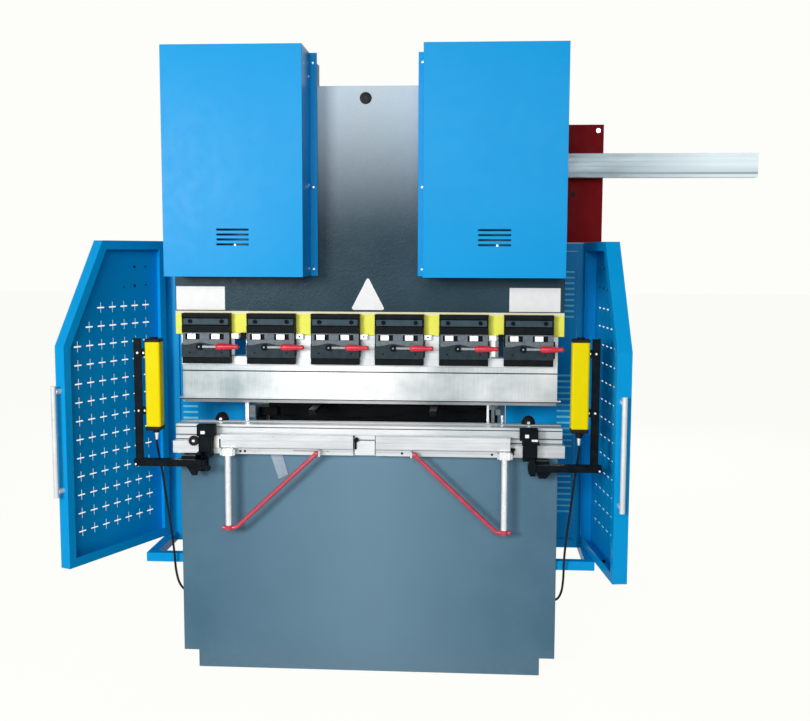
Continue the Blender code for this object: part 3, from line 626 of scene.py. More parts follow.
MOTOR_X, MOTOR_Y, FINS = -0.12, 0.56, 30
fins = [round_bar("motor_barrel", "Z", (MOTOR_X, MOTOR_Y), 0.0665, (1.640, 1.800), 0.001, 48)]
for i in range(FINS):
    angle = 2 * math.pi * i / FINS
    fin = between(f"motor_fin_{i}", (0.0640, 0.0745), (-0.0011, 0.0011), (1.648, 1.796), 0.0004, 1)
    fin.matrix_world = Matrix.Translation((MOTOR_X, MOTOR_Y, 0)) @ Matrix.Rotation(angle, 4, "Z")
    fins.append(fin)
fins.append(round_bar("motor_foot", "Z", (MOTOR_X, MOTOR_Y), 0.094, (1.6155, 1.640), 0.002, 48))
fins.append(round_bar("motor_cowl", "Z", (MOTOR_X, MOTOR_Y), 0.0795, (1.792, 1.860), 0.006, 48))
fins.append(between("terminal_box", (-0.240, -0.180), (0.520, 0.600), (1.682, 1.758), 0.003))
fins.append(between("terminal_lid", (-0.2395, -0.232), (0.5215, 0.5985), (1.6835, 1.7565), 0.002))
for part in fins:
    apply_all(part)
fitted(joined("pump_motor_finned", fins), "frame", "motor_iron", CAST_IRON, "pump_motor")
grille = [round_bar("cowl_disc", "Z", (MOTOR_X, MOTOR_Y), 0.058, (1.8596, 1.8600), 0.0, 40)]
for i in range(4):
    ring = started(bpy.ops.mesh.primitive_torus_add, f"cowl_ring_{i}", location=(MOTOR_X, MOTOR_Y, 1.8590),
                   major_radius=0.014 + 0.013 * i, minor_radius=0.0010, major_segments=36, minor_segments=6)
    grille.append(ease(ring, 0.0))
fitted(joined("cowl_grille", grille), "frame", "black_metal", BLACKENED)
screwed(M8_CAP, "motor_foot_bolts",
        [(MOTOR_X + 0.085 * math.cos(a), MOTOR_Y + 0.085 * math.sin(a), 1.640)
         for a in (math.pi * (0.25 + 0.5 * k) for k in range(4))], "frame", "black_metal", BLACKENED, "+Z")


# ---- electrical cabinet and pendant arm ----
# A dark red sheet-steel cabinet on the right side plate, and a square aluminium section that turns on a
# pin between the cabinet's two lugs. The section has shallow lines drawn along it by the die.
def drawn_aluminium(name, dark, pale, bands=None):
    """Satin drawn aluminium with faint lines along X and, where bands are given, painted shade in bands
    along Z where its section is hollow.
    """
    mat, shader, place = new_finish(name, pale, 0.36, 0.35)
    clouds = spread_to(mat, grain(mat, place, 0.10, 4.0, stretch=(3, 1, 1)), 0.3, 1.0)
    lines = spread_to(mat, grain(mat, place, 0.004, 3.0, stretch=(120, 1, 1)), 0.5, 1.0)
    shade = maths(mat, "MULTIPLY", clouds, lines)
    # Painted shade: the bands darken the colour where the section steps back.
    if bands:
        shade = maths(mat, "MULTIPLY", shade, polish(mat, distance(mat, place, "Z"), bands))
    tint(mat, shader, shade, dark, pale)
    roughen(mat, shader, spread_to(mat, grain(mat, place, 0.02, 4.0, stretch=(4, 1, 1)), 0.26, 0.42))
    return mat


CABINET_RED = clouded("cabinet_red", (0.240, 0.003, 0.008), 0.38, [0.10, 4.0],
                      ((0.310, 0.003, 0.007), (0.360, 0.004, 0.010)), [0.03, 5.0], (0.32, 0.46),
                      ([0.003, 2.0], 0.00015, 0.5), specular=0.05, clouds=(0.35, 0.68))
dressed("electrical_cabinet", 0.0018, CABINET_RED)
CABINET_FRONT = 0.3200
CABINET_SCREW = screw_master("cabinet_screw_master", 0.0042, 0.0022, 0.0078)
screwed(CABINET_SCREW, "cabinet_screw", [(0.741, CABINET_FRONT, 1.747)], "frame", "chrome", ZINC_PLATE)
hole_plug = round_bar("cabinet_hole_plug", "Y", (0.660, 1.535), 0.0085,
                      (CABINET_FRONT - 0.0012, CABINET_FRONT + 0.002), 0.0004, 20)
fitted(hole_plug, "frame", "cable_rubber", MOULDED_RUBBER)
door = between("cabinet_door", (0.7566, 0.7590), (0.335, 0.545), (1.392, 1.750), 0.0008)
fitted(door, "frame", "dark_red_paint", CABINET_RED)
lock = round_bar("cabinet_lock", "X", (0.352, 1.570), 0.011, (0.7570, 0.7588), 0.0004, 24)
fitted(lock, "frame", "chrome", ZINC_PLATE)


def arm_aluminium():
    """Drawn aluminium with painted shade: darker towards the pivot end, and a painted dark line above its
    lower lip.
    """
    mat, shader, place = new_finish("arm_aluminium", (0.62, 0.72, 0.79), 0.36, 0.35)
    lines = spread_to(mat, grain(mat, place, 0.008, 3.0, stretch=(120, 1, 1)), -0.10, 0.10)
    # Painted shade: darker towards the pivot end at low X, brighter towards the free end.
    painted_shade_along_x = polish(mat, distance(mat, place, "X"),
                     ((0.60, 0.02), (0.90, 0.34), (1.10, 0.86), (1.24, 1.0)))
    body = tint(mat, shader, maths(mat, "ADD", painted_shade_along_x, lines, True), (0.20, 0.26, 0.30),
                (0.80, 0.93, 0.97))
    # Painted shade: a dark line at z 1.5985 to 1.6015 that fades upwards to 1.628, and a slight darkening of
    # the lip below.
    lip = polish(mat, distance(mat, place, "Z"), ((1.5850, 0.10), (1.5950, 0.10), (1.5985, 0.85),
                                                  (1.6015, 0.85), (1.6040, 0.30), (1.6280, 0.0)))
    tint(mat, shader, lip, body, (0.18, 0.23, 0.27))
    roughen(mat, shader, spread_to(mat, grain(mat, place, 0.02, 4.0, stretch=(4, 1, 1)), 0.30, 0.44))
    relief(mat, shader, grain(mat, place, 0.0014, 2.0, stretch=(90, 1, 1)), 0.00004, 0.4)
    return mat


ARM_ALUMINIUM = arm_aluminium()
dressed("pendant_arm", 0.0022, ARM_ALUMINIUM, 3)


# ---- side guards ----
# Welded square-tube frames with a louvred sheet, and pan doors of thin sheet whose rim is folded in twice.
# The doors' skins are punched with rows of plus-shaped tool holes. All is powder-coated blue; the louvre
# lips are a paler blue that paints the light they catch from behind.
HINGE, DOOR_TURN = (0.731, 0.21), {"left": 24.2, "right": 6.7}
HANDLE_AT = {"left": (0.018, 0.0), "right": (0.027, 0.008)}
SKIN, PLUS_ARM, PLUS_WIDE = 0.003, 0.0165, 0.0022
LOUVRES = ((0.4630, 8, 0.0202), (0.6875, 13, 0.0200), (1.1245, 9, 0.0186))
ROW_START, ROW_PITCH, COLUMN_START, COLUMN_PITCH = 0.468, 0.058, 0.072, 0.052

CLEAR_ANODISED = drawn_aluminium("clear_anodised", (0.66, 0.69, 0.71), (0.86, 0.88, 0.89))


def plus_punch(name):
    """A plus-shaped punch across the skin, at the hinge axis, pointing along X."""
    obj = started(bpy.ops.mesh.primitive_cube_add, name, size=2 * PLUS_WIDE)
    obj.scale.x = 2.0
    apply_all(obj)
    bpy.ops.object.mode_set(mode="EDIT")
    for axis, sign in ((1, 1), (1, -1), (2, 1), (2, -1)):
        pick_faces(obj, lambda face: face.normal[axis] * sign > 0.9
                   and abs(face.calc_center_median()[3 - axis]) < PLUS_WIDE
                   and abs(face.calc_center_median()[axis]) < 2 * PLUS_WIDE)
        shift = [0, 0, 0]
        shift[axis] = sign * (PLUS_ARM - PLUS_WIDE)
        bpy.ops.mesh.extrude_region_move(TRANSFORM_OT_translate={"value": shift})
    bpy.ops.object.mode_set(mode="OBJECT")
    return obj


def swing(obj, side, s):
    """Turns a piece made for a door square to the front into the door's place."""
    axis = Vector((s * HINGE[0], HINGE[1], 0))
    turn = Matrix.Rotation(math.radians(s * DOOR_TURN[side]), 4, "Z")
    obj.data.transform(Matrix.Translation(axis) @ turn @ Matrix.Translation(-axis))
    return obj


# Painted light: the louvre lips are a pale blue, for light caught through the slots from behind.
LIP_PAINTED_LIGHT = clouded("lip_painted_light", (0.22, 0.82, 1.0), 0.34, [0.02, 4.0],
                   ((0.18, 0.76, 0.98), (0.28, 0.88, 1.0)), [0.01], (0.30, 0.42), specular=0.09)
punch_master = plus_punch("plus_punch")
for side, s in SIDES:
    dressed(f"guard_frame_{side}", 0.0016, GUARD_BLUE)
    dressed(f"guard_panel_{side}", 0.0004, GUARD_BLUE)
    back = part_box(f"guard_panel_{side}")[1].y
    heights = [start + k * pitch for start, count, pitch in LOUVRES for k in range(count)]
    lips = [between(f"louvre_lip_{i}", (s * 0.610, s * 0.666), (back - 0.0006, back + 0.0014),
                    (z - 0.0010, z + 0.0080)) for i, z in enumerate(heights)]
    fitted(joined(f"louvre_lips_{side}", lips), "frame", "blue_paint", LIP_PAINTED_LIGHT)

    skin_x = s * (HINGE[0] - SKIN / 2)
    holes = [(skin_x, HINGE[1] - COLUMN_START - j * COLUMN_PITCH, ROW_START + i * ROW_PITCH)
             for i in range(13) for j in range(min(7, 17 - i))]
    punches = []
    for i, place in enumerate(holes):
        punch = bpy.data.objects.new(f"punch_{side}_{i}", punch_master.data.copy())
        punch.data.transform(Matrix.Translation(place))
        bpy.context.scene.collection.objects.link(punch)
        punches.append(punch)
    punches = swing(joined(f"punches_{side}", punches), side, s)
    door = ease(from_frame(f"guard_door_{side}", f"guard_door_{side}_punched"), 0.0009)
    mod = door.modifiers.new("punched", "BOOLEAN")
    mod.operation = "DIFFERENCE"
    mod.solver = "EXACT"
    mod.object = punches
    apply_all(door)
    bpy.data.objects.remove(punches, do_unlink=True)
    bpy.ops.object.shade_smooth_by_angle(angle=SHARP)
    fitted(door, BODY[f"guard_door_{side}"], "blue_paint", GUARD_BLUE, f"guard_door_{side}")

    plugs = []
    for i, (t, z, radius) in enumerate(((0.124, 1.290, 0.0045), (0.072, 1.290, 0.003), (0.175, 1.226, 0.003),
                                        (0.124, 1.228, 0.0045), (0.072, 1.230, 0.003))):
        plugs.append(round_bar(f"plug_{side}_{i}", "X", (HINGE[1] - t, z), radius,
                               (s * (HINGE[0] - SKIN), s * (HINGE[0] - SKIN - 0.0015)), 0.0004, 12))
    plugs.append(round_bar(f"stop_{side}", "Z", (s * (HINGE[0] - 0.019), HINGE[1] - 0.26), 0.0075,
                           (0.3772, 0.3830), 0.0012, 16))
    fitted(swing(joined(f"door_plugs_{side}", plugs), side, s), BODY[f"guard_door_{side}"], "cable_rubber",
           MOULDED_RUBBER)

    dressed(f"door_handle_{side}", 0.0030, CLEAR_ANODISED, 4)
    edge = HINGE[1] - 0.4755
    inset, drop = HANDLE_AT[side]
    caps = [round_bar(f"handle_boss_{side}_{z}", "Y", (s * (HINGE[0] - inset), z - drop), 0.0085,
                      (edge - 0.0225, edge - 0.0003), 0.0012, 20) for z in (0.618, 0.922)]
    fitted(swing(joined(f"handle_bosses_{side}", caps), side, s), BODY[f"door_handle_{side}"], "aluminium",
           CLEAR_ANODISED)


# ---- table ----
# Die holder and front rails of clear-anodised aluminium, and a ground steel die block with a vee along
# its top. Small black screws hold the rails from the front, and a black hook hangs past the right one.
# Both finishes carry painted shade: a dark line that lightens upwards, at z 0.760 on the holder and 0.7205
# on the rails.
TABLE_ALUMINIUM = drawn_aluminium("table_aluminium", (0.46, 0.49, 0.51), (0.94, 0.96, 0.97), bands=(
    (0.700, 1.0), (0.7560, 1.0), (0.7600, 0.30), (0.7680, 0.45), (0.7860, 1.0), (0.8100, 1.0)))
RAIL_ALUMINIUM = drawn_aluminium("rail_aluminium", (0.48, 0.51, 0.53), (0.88, 0.90, 0.91), bands=(
    (0.7000, 1.0), (0.7190, 1.0), (0.7205, 0.45), (0.7330, 0.65), (0.7380, 1.0), (0.7800, 1.0)))
dressed("die_holder", 0.0008, TABLE_ALUMINIUM)
dressed("lower_die", 0.0005, GROUND_STEEL)
die_low, die_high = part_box("lower_die")
# Painted shadow: black strips set into the die's three front grooves darken them.
DIE_SHADOW_STRIPS = ((0.0012, (0.7885, 0.7910)), (0.0008, (0.7630, 0.7655)), (0.0012, (0.7485, 0.7515)))
shadow_strips = [between(f"die_shadow_strip_{i}", (die_low.x + 0.0005, die_high.x - 0.0005),
                 (die_low.y + 0.0034, die_low.y + depth), z) for i, (depth, z) in enumerate(DIE_SHADOW_STRIPS)]
fitted(joined("die_shadow_strips", shadow_strips), "frame", "black_metal", BLACKENED)
for side, s in SIDES:
    dressed(f"front_rail_{side}", 0.0006, RAIL_ALUMINIUM)
RAIL_FRONT, RAIL_LIP = -0.0953, 0.008
LIP_Y = RAIL_FRONT + RAIL_LIP
screwed(M4, "rail_screws", [(x, LIP_Y, 0.7200) for x in (-0.4092, -0.3949, -0.3807, 0.1122, 0.3906)],
        "frame", "black_metal", BLACKENED)
slots = [between("rail_slot_left", (-0.2290, -0.1598), (LIP_Y, LIP_Y - 0.0004), (0.7225, 0.7240), 0.0),
         between("rail_dot_left", (-0.1215, -0.1185), (LIP_Y, LIP_Y - 0.0004), (0.7215, 0.7245), 0.0)]
fitted(joined("rail_slots", slots), "frame", "black_metal", BLACKENED)
HOLDER_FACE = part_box("die_holder")[0].y
clip = [between("centre_clip_block", (-0.0360, 0.0270), (HOLDER_FACE - 0.0003, HOLDER_FACE - 0.0150),
                (0.7105, 0.7560), 0.001),
        between("centre_clip_lip", (-0.0360, 0.0270), (HOLDER_FACE - 0.0003, HOLDER_FACE - 0.0105),
                (0.7590, 0.7725), 0.001)]
fitted(joined("centre_clip", clip), "frame", "aluminium", CLEAR_ANODISED)
clip_knob = joined("centre_clip_knob",
                   [round_bar("clip_knob_body", "Y", (-0.0300, 0.7600), 0.0070,
                              (HOLDER_FACE - 0.0150, HOLDER_FACE - 0.0260), 0.001, 20),
                    between("clip_knob_tail", (-0.0360, -0.0300),
                            (HOLDER_FACE - 0.0150, HOLDER_FACE - 0.0220), (0.7300, 0.7560), 0.001)])
fitted(clip_knob, "frame", "black_metal", BLACKENED)
hook = joined("end_hook",
              [between("hook_stem", (0.4500, 0.4590), (HOLDER_FACE - 0.0003, HOLDER_FACE - 0.0180),
                       (0.7180, 0.7380), 0.0012),
               between("hook_lip", (0.4475, 0.4620), (HOLDER_FACE - 0.0140, HOLDER_FACE - 0.0200),
                       (0.7330, 0.7400), 0.0012)])
fitted(hook, "frame", "black_metal", BLACKENED)


# ---- sheet supports ----
# Each is a bright tube below an aluminium hinge block, with a red bar bent round its foot and back up to
# an eye in the rail. It swings up to the front.
SUPPORT_X, SUPPORT_Y, SUPPORT_Z, BRACE_X, BRACE_RADIUS = 0.4295, -0.111, 0.720, 0.152, 0.0070
SIGNAL_RED = clouded("signal_red", (0.60, 0.040, 0.080), 0.22, [0.03, 4.0],
                     ((0.55, 0.034, 0.070), (0.68, 0.060, 0.105)), [0.012, 4.0], (0.18, 0.28),
                     ([0.002, 2.0], 0.00005, 0.3), specular=0.6)
BRIGHT_TUBE = clouded("bright_tube", (0.92, 0.93, 0.94), 0.28, [0.03, 4.0],
                      ((0.84, 0.85, 0.86), (0.95, 0.96, 0.96)), [0.004, 3.0, (1, 1, 12)], (0.2, 0.36),
                      metallic=0.5)
for side, s in SIDES:
    centre, eye = s * SUPPORT_X, s * BRACE_X
    body = BODY[f"sheet_support_{side}"]
    route = [(eye, SUPPORT_Y, SUPPORT_Z), (s * 0.398, SUPPORT_Y, 0.4885), (s * 0.405, SUPPORT_Y, 0.4830),
             (s * 0.413, SUPPORT_Y, 0.4805), (s * 0.449, SUPPORT_Y, 0.4805)]
    brace = tube(f"support_brace_{side}", route, BRACE_RADIUS)
    alone(brace)
    bpy.ops.object.convert(target="MESH")
    brace = bpy.context.active_object
    ring = round_bar(f"brace_eye_{side}", "X", (SUPPORT_Y, SUPPORT_Z), 0.0085,
                     (eye - 0.0058, eye + 0.0058), 0.0008, 20)
    hook = round_bar(f"brace_foot_{side}", "Z", (centre, SUPPORT_Y), 0.0122, (0.4728, 0.4882), 0.0020, 24)
    brace = joined(f"support_brace_{side}", [brace, ring, hook])
    alone(brace)
    bpy.ops.object.shade_smooth_by_angle(angle=math.radians(50))
    fitted(brace, body, "red_paint", SIGNAL_RED, f"sheet_support_{side}")

    post = round_bar(f"support_post_{side}", "Z", (centre, SUPPORT_Y), 0.0105, (0.4882, 0.7100), 0.0008, 32)
    block = between(f"support_block_{side}", (centre - 0.0170, centre + 0.0170),
                    (SUPPORT_Y - 0.0105, SUPPORT_Y + 0.0105), (0.7096, 0.7305), 0.0012)
    fitted(joined(f"support_tube_{side}", [post, block]), body, "aluminium", BRIGHT_TUBE)
    pins = [round_bar(f"block_pin_{side}", "X", (SUPPORT_Y, SUPPORT_Z), 0.0030,
                      (centre - 0.0250, centre + 0.0250), 0.0005, 16),
            round_bar(f"eye_pin_{side}", "X", (SUPPORT_Y, SUPPORT_Z), 0.0030, (eye - s * 0.0140, eye),
                      0.0005, 16)]
    fitted(joined(f"support_pins_{side}", pins), body, "chrome", ZINC_PLATE)
    screwed(M4, f"block_screw_{side}", [(centre, SUPPORT_Y - 0.0105, 0.7200)], body, "chrome", ZINC_PLATE)


# ---- light curtains ----
# Black clamps grip the table's ends and hold an outrigger arm with an upright. Each upright carries a
# yellow extruded housing with black end caps and a bright plug below. Knobs and bolts are zinc or black.
CURTAIN_YELLOW = clouded("curtain_yellow", (0.98, 0.80, 0.0), 0.36, [0.08, 4.0],
                         ((0.96, 0.78, 0.0), (1.0, 0.82, 0.001)), [0.02, 4.0, (1, 1, 6)], (0.30, 0.44),
                         ([0.002, 2.0, (1, 1, 10)], 0.0001, 0.4), specular=0.08)
CURTAIN = {"left": (0.629, 0.677, 0.691, 0.0), "right": (0.6245, 0.679, 0.686, 0.009)}
CAP_ENDS = ((0.7900, 0.8030), (1.0640, 1.0745))
FOOT_END = {"left": 0.5810, "right": 0.5660}
for side, s in SIDES:
    inner, outer, edge, lift = CURTAIN[side]
    dressed(f"curtain_strut_{side}", 0.0010, BLACKENED)
    screwed(M4, f"strut_bolts_{side}",
            [(s * (edge + dx), -0.1260 if dx < 0 else -0.1280, z + lift)
             for dx in (-0.006, 0.0125)
             for z in (0.850, 1.030)], "frame", "chrome", ZINC_PLATE)
    screwed(M4, f"arm_tip_screw_{side}", [(s * 0.716, -0.1303, 0.682)], "frame", "chrome", ZINC_PLATE)

    shell = between(f"curtain_housing_{side}", (s * (inner + 0.001), s * (outer - 0.0005)),
                    (-0.1445, -0.1005), (0.8000 + lift, 1.0670 + lift), 0.0065, 4)
    fitted(shell, "frame", "yellow_paint", CURTAIN_YELLOW, f"light_curtain_{side}")
    middle = (inner + outer) / 2
    caps = [between(f"cap_{side}_{i}", (s * inner, s * outer), (-0.1455, -0.0995),
                    (low + lift, high + lift), 0.0045, 4) for i, (low, high) in enumerate(CAP_ENDS)]
    caps.append(round_bar(f"cap_knob_{side}", "Z", (s * middle, -0.1225), 0.0125,
                          (1.0735 + lift, 1.0790 + lift), 0.0015, 24))
    caps.append(round_bar(f"cap_neck_{side}", "Z", (s * PLUG_X, -0.1120), 0.0085, (0.7800, 0.7920 + lift),
                          0.0008, 24, 0.0150))
    fitted(joined(f"curtain_caps_{side}", caps), "frame", "cable_rubber", MOULDED_RUBBER)

    plug = [round_bar(f"plug_nut_{side}", "Z", (s * PLUG_X, PLUG_Y), 0.0065, (0.7730, 0.7840), 0.0006, 12),
            round_bar(f"plug_body_{side}", "Z", (s * PLUG_X, PLUG_Y), 0.0042, (0.7571, 0.7735), 0.0004, 24,
                      0.0060)]
    fitted(joined(f"cable_plug_{side}", plug), "frame", "chrome", BRIGHT_TUBE)
    gland = [round_bar(f"gland_nut_{side}", "X", (GLAND_Y, GLAND_Z), 0.0088, (s * 0.4403, s * 0.4470),
                       0.0006, 6),
             round_bar(f"gland_dome_{side}", "X", (GLAND_Y, GLAND_Z), 0.0080, (s * 0.4465, s * 0.4519),
                       0.0015, 24)]
    fitted(joined(f"cable_gland_{side}", gland), "frame", "cable_rubber", MOULDED_RUBBER)

    # The grip on the table's end: a jaw and a stem in front of the holder, and the foot on the bed plate.
    grip_low, grip_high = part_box(f"curtain_mount_{side}")
    holder_gap = HOLDER_FACE - 0.0005
    grip = [between(f"grip_jaw_{side}", (s * 0.4750, s * 0.5300), (grip_low.y, holder_gap),
                    (0.7665, grip_high.z), 0.001),
            between(f"grip_stem_{side}", (s * 0.4850, s * 0.5250), (grip_low.y, holder_gap),
                    (0.7020, 0.7700), 0.001),
            between(f"grip_foot_{side}", (s * 0.5080, s * FOOT_END[side]), (grip_low.y, grip_high.y),
                    (0.6743, 0.7040), 0.0015),
            between(f"grip_tail_{side}", (s * 0.5070, s * 0.5240), (grip_low.y, grip_high.y),
                    (0.6560, 0.7035), 0.0015)]
    fitted(joined(f"curtain_grip_{side}", grip), "frame", "black_metal", BLACKENED, f"curtain_mount_{side}")


def cut_plate(name, outline, y, width=0.0005):
    """A plate cut to an outline of (x, z) points, between two depths."""
    flat = bpy.data.curves.new(name, "CURVE")
    flat.dimensions = "2D"
    flat.fill_mode = "BOTH"
    flat.extrude = abs(y[1] - y[0]) / 2
    line = flat.splines.new("POLY")
    line.use_cyclic_u = True
    line.points.add(len(outline) - 1)
    for point, (x, z) in zip(line.points, outline):
        point.co = (x, z, 0, 1)
    plate = bpy.data.objects.new(name, flat)
    bpy.context.scene.collection.objects.link(plate)
    alone(plate)
    bpy.ops.object.convert(target="MESH")
    plate = bpy.context.active_object
    plate.rotation_euler.x = math.pi / 2
    plate.location.y = (y[0] + y[1]) / 2
    apply_all(plate)
    bpy.ops.object.mode_set(mode="EDIT")
    bpy.ops.mesh.select_all(action="SELECT")
    bpy.ops.mesh.remove_doubles(threshold=0.00001)
    bpy.ops.mesh.dissolve_limited(angle_limit=math.radians(0.8))
    bpy.ops.mesh.normals_make_consistent(inside=False)
    bpy.ops.object.mode_set(mode="OBJECT")
    return ease(plate, width)


def knurled_knob(name, centre, radius, span, ribs=18):
    """A round knob facing the front, with ribs around its rim for the fingers."""
    parts = [round_bar(f"{name}_core", "Y", centre, radius * 0.9, span, 0.0012, 24)]
    for i in range(ribs):
        a = 2 * math.pi * i / ribs
        rim = (centre[0] + radius * 0.9 * math.cos(a), centre[1] + radius * 0.9 * math.sin(a))
        parts.append(round_bar(f"{name}_rib_{i}", "Y", rim, radius * 0.10,
                               (max(span) - 0.0012, min(span) + 0.0012), 0.0, 8))
    return joined(name, parts)


# Grip plates of the two mounts, which are cut and screwed up differently.
MOUNT_FRONT, ARM_FRONT = -0.0990, -0.1303
jaw = [between("left_jaw", (-0.5285, -0.4726), (MOUNT_FRONT, -0.1040), (0.7675, 0.8025), 0.0015),
       between("left_stem", (-0.5230, -0.4834), (MOUNT_FRONT, -0.1070), (0.7160, 0.7690), 0.0030),
       between("left_tail", (-0.5259, -0.5086), (ARM_FRONT + 0.0010, -0.1345), (0.6633, 0.7157), 0.0012),
       between("left_tail_neck", (-0.5259, -0.5086), (MOUNT_FRONT, -0.1345), (0.6990, 0.7200), 0.0012),
       round_bar("low_knob_stud", "X", (-0.1325, 0.6740), 0.0035, (-0.5095, -0.4890), 0.0, 16),
       round_bar("low_knob", "Y", (-0.4890, 0.6740), 0.0098, (-0.1290, -0.1400), 0.0020, 24),
       between("left_hook", (-0.4647, -0.4565), (-0.0700, -0.0785), (0.7270, 0.7550), 0.0012)]
fitted(joined("mount_jaw_left", jaw), "frame", "black_metal", BLACKENED)
jaw = [cut_plate("right_jaw", [(0.4806, 0.8022), (0.5308, 0.8022), (0.5312, 0.7700), (0.5364, 0.7533),
                               (0.4820, 0.7533)], (MOUNT_FRONT, -0.1040), 0.0012),
       between("right_stem", (0.4872, 0.5289), (MOUNT_FRONT, -0.1070), (0.7114, 0.7550), 0.0030),
       between("right_tail", (0.5007, 0.5231), (ARM_FRONT + 0.0010, -0.1360), (0.6706, 0.7057), 0.0015),
       between("right_tail_neck", (0.5040, 0.5200), (MOUNT_FRONT, -0.1350), (0.6980, 0.7150), 0.0012)]
fitted(joined("mount_jaw_right", jaw), "frame", "black_metal", BLACKENED)
# Painted highlight: the left jaw's bright block. The gib, tab and jaw screw are bright parts.
marks = [between("left_jaw_glint", (-0.5167, -0.5027), (-0.1035, -0.1058), (0.7746, 0.7845), 0.0008),
         between("left_gib", (-0.4826, -0.4572), (-0.0655, -0.0710), (0.7250, 0.7670), 0.0010),
         between("left_tab", (-0.6010, -0.5830), (-0.0648, -0.0665), (0.7072, 0.7125), 0.0004),
         round_bar("left_jaw_screw", "Y", (-0.5378, 0.7540), 0.0045, (-0.1110, -0.1128), 0.0006, 16)]
fitted(joined("mount_glints_and_bits_left", marks), "frame", "aluminium", BRIGHT_TUBE)
# Painted highlights: two bright blocks on the right jaw.
marks = [between("right_jaw_glint", (0.4905, 0.5030), (-0.1035, -0.1058), (0.7760, 0.7870), 0.0008),
         between("right_jaw_low_glint", (0.5110, 0.5300), (-0.1035, -0.1058), (0.7650, 0.7720), 0.0008)]
fitted(joined("mount_glints_right", marks), "frame", "aluminium", BRIGHT_TUBE)
GUSSET = {
    "left": [(-0.5830, 0.6775), (-0.5640, 0.6775), (-0.5440, 0.6450), (-0.5290, 0.6450), (-0.5250, 0.6775)],
    "right": [(0.5240, 0.6775), (0.5347, 0.6520), (0.5560, 0.6520), (0.5761, 0.6775)]}
for side, s in SIDES:
    gusset = cut_plate(f"mount_gusset_{side}", GUSSET[side], (-0.1120, -0.0970), 0.0010)
    fitted(gusset, "frame", "black_metal", BLACKENED)
knob = knurled_knob("mount_knob_left", (-0.5378, 0.7540), 0.0163, (-0.0985, -0.1120))
fitted(knob, "frame", "cable_rubber", MOULDED_RUBBER)


# ---- punch and its holder ----
# The holder is a ground bar below the ram with windows near its ends. The punch is a one-piece upper tool,
# with painted reflection that makes it bright in the middle and duller towards its ends.
def bloomed_steel():
    """Ground steel whose bright and dull stretches along X are painted reflection, with random blotches and
    streaks.
    """
    mat, shader, place = new_finish("bloomed_steel", (0.80, 0.84, 0.86), 0.36, 0.30)
    blotches = spread_to(mat, grain(mat, place, 0.09, 3.0, stretch=(1.4, 1, 0.9), rough=0.5), -0.22, 0.22)
    streaks = spread_to(mat, grain(mat, place, 0.010, 3.0, stretch=(0.3, 1, 8)), -0.06, 0.06)
    # Painted reflection: brightest near X = -0.05 and duller towards the ends, with a dull stretch near X =
    # 0.22.
    shade = polish(mat, distance(mat, place, "X"),
                   ((-0.60, 0.12), (-0.42, 0.16), (-0.28, 0.60), (-0.05, 1.0), (0.08, 0.80), (0.22, 0.26),
                    (0.38, 0.52), (0.48, 0.42), (0.60, 0.50)))
    for change in (blotches, streaks):
        shade = maths(mat, "ADD", shade, change, True)
    tint(mat, shader, shade, (0.29, 0.35, 0.37), (0.96, 0.97, 0.97))
    roughen(mat, shader, spread_to(mat, grain(mat, place, 0.03, 3.0), 0.30, 0.42))
    return mat


BLOOMED_STEEL = bloomed_steel()
dressed("punch", 0.0005, BLOOMED_STEEL)
HOLDER_STEEL = drawn_aluminium("holder_steel", (0.50, 0.54, 0.56), (0.80, 0.83, 0.84))
dressed("punch_holder", 0.0010, HOLDER_STEEL)
punch_low, punch_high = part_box("punch")
# Painted shadow: black strips in the punch's groove at z 0.965 and under its lip.
shadow_strips = [between("punch_shadow_strip", (punch_low.x + 0.0005, punch_high.x - 0.0005),
                 (punch_low.y + 0.0030, punch_low.y + 0.0006), (0.9635, 0.9665)),
         between("punch_lip_shade", (-0.6040, 0.6040), (punch_low.y + 0.0040, punch_low.y - 0.0003),
                 (0.8742, 0.8764))]
fitted(joined("punch_shadow_strips", shadow_strips), "ram", "black_metal", BLACKENED)
lip = between("punch_lip", (-0.6040, 0.6040), (punch_low.y + 0.0060, punch_low.y - 0.0008),
              (0.8764, 0.8812), 0.0006)
fitted(lip, "ram", "ground_steel", BLOOMED_STEEL)
holder_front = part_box("punch_holder")[0].y
CLAMP_X, CLAMP_WIDE = (-0.507, -0.302, -0.100, 0.100, 0.300, 0.500), 0.152
stops, stop_caps = [], []
for gap, x in enumerate(CLAMP_X[:5]):
    left = x + CLAMP_WIDE / 2
    stops.append(between(f"stop_{gap}", (left + 0.0010, left + 0.0250),
                         (holder_front, holder_front - 0.0140), (1.0690, 1.0860), 0.0010))
    if gap in (0, 4):
        stop_caps.append(between(f"stop_cap_{gap}", (left + 0.0310, left + 0.0465),
                                 (holder_front, holder_front - 0.0180), (1.0660, 1.0880), 0.0010))
    else:
        stop_caps.append(round_bar(f"stop_cap_{gap}", "Y", (left + 0.0130, 1.0780), 0.0026,
                                   (holder_front - 0.0135, holder_front - 0.0150), 0.0004, 12))
fitted(joined("holder_stops", stops), "ram", "aluminium", BRIGHT_TUBE)
fitted(joined("holder_stop_caps", stop_caps), "ram", "black_metal", BLACKENED)


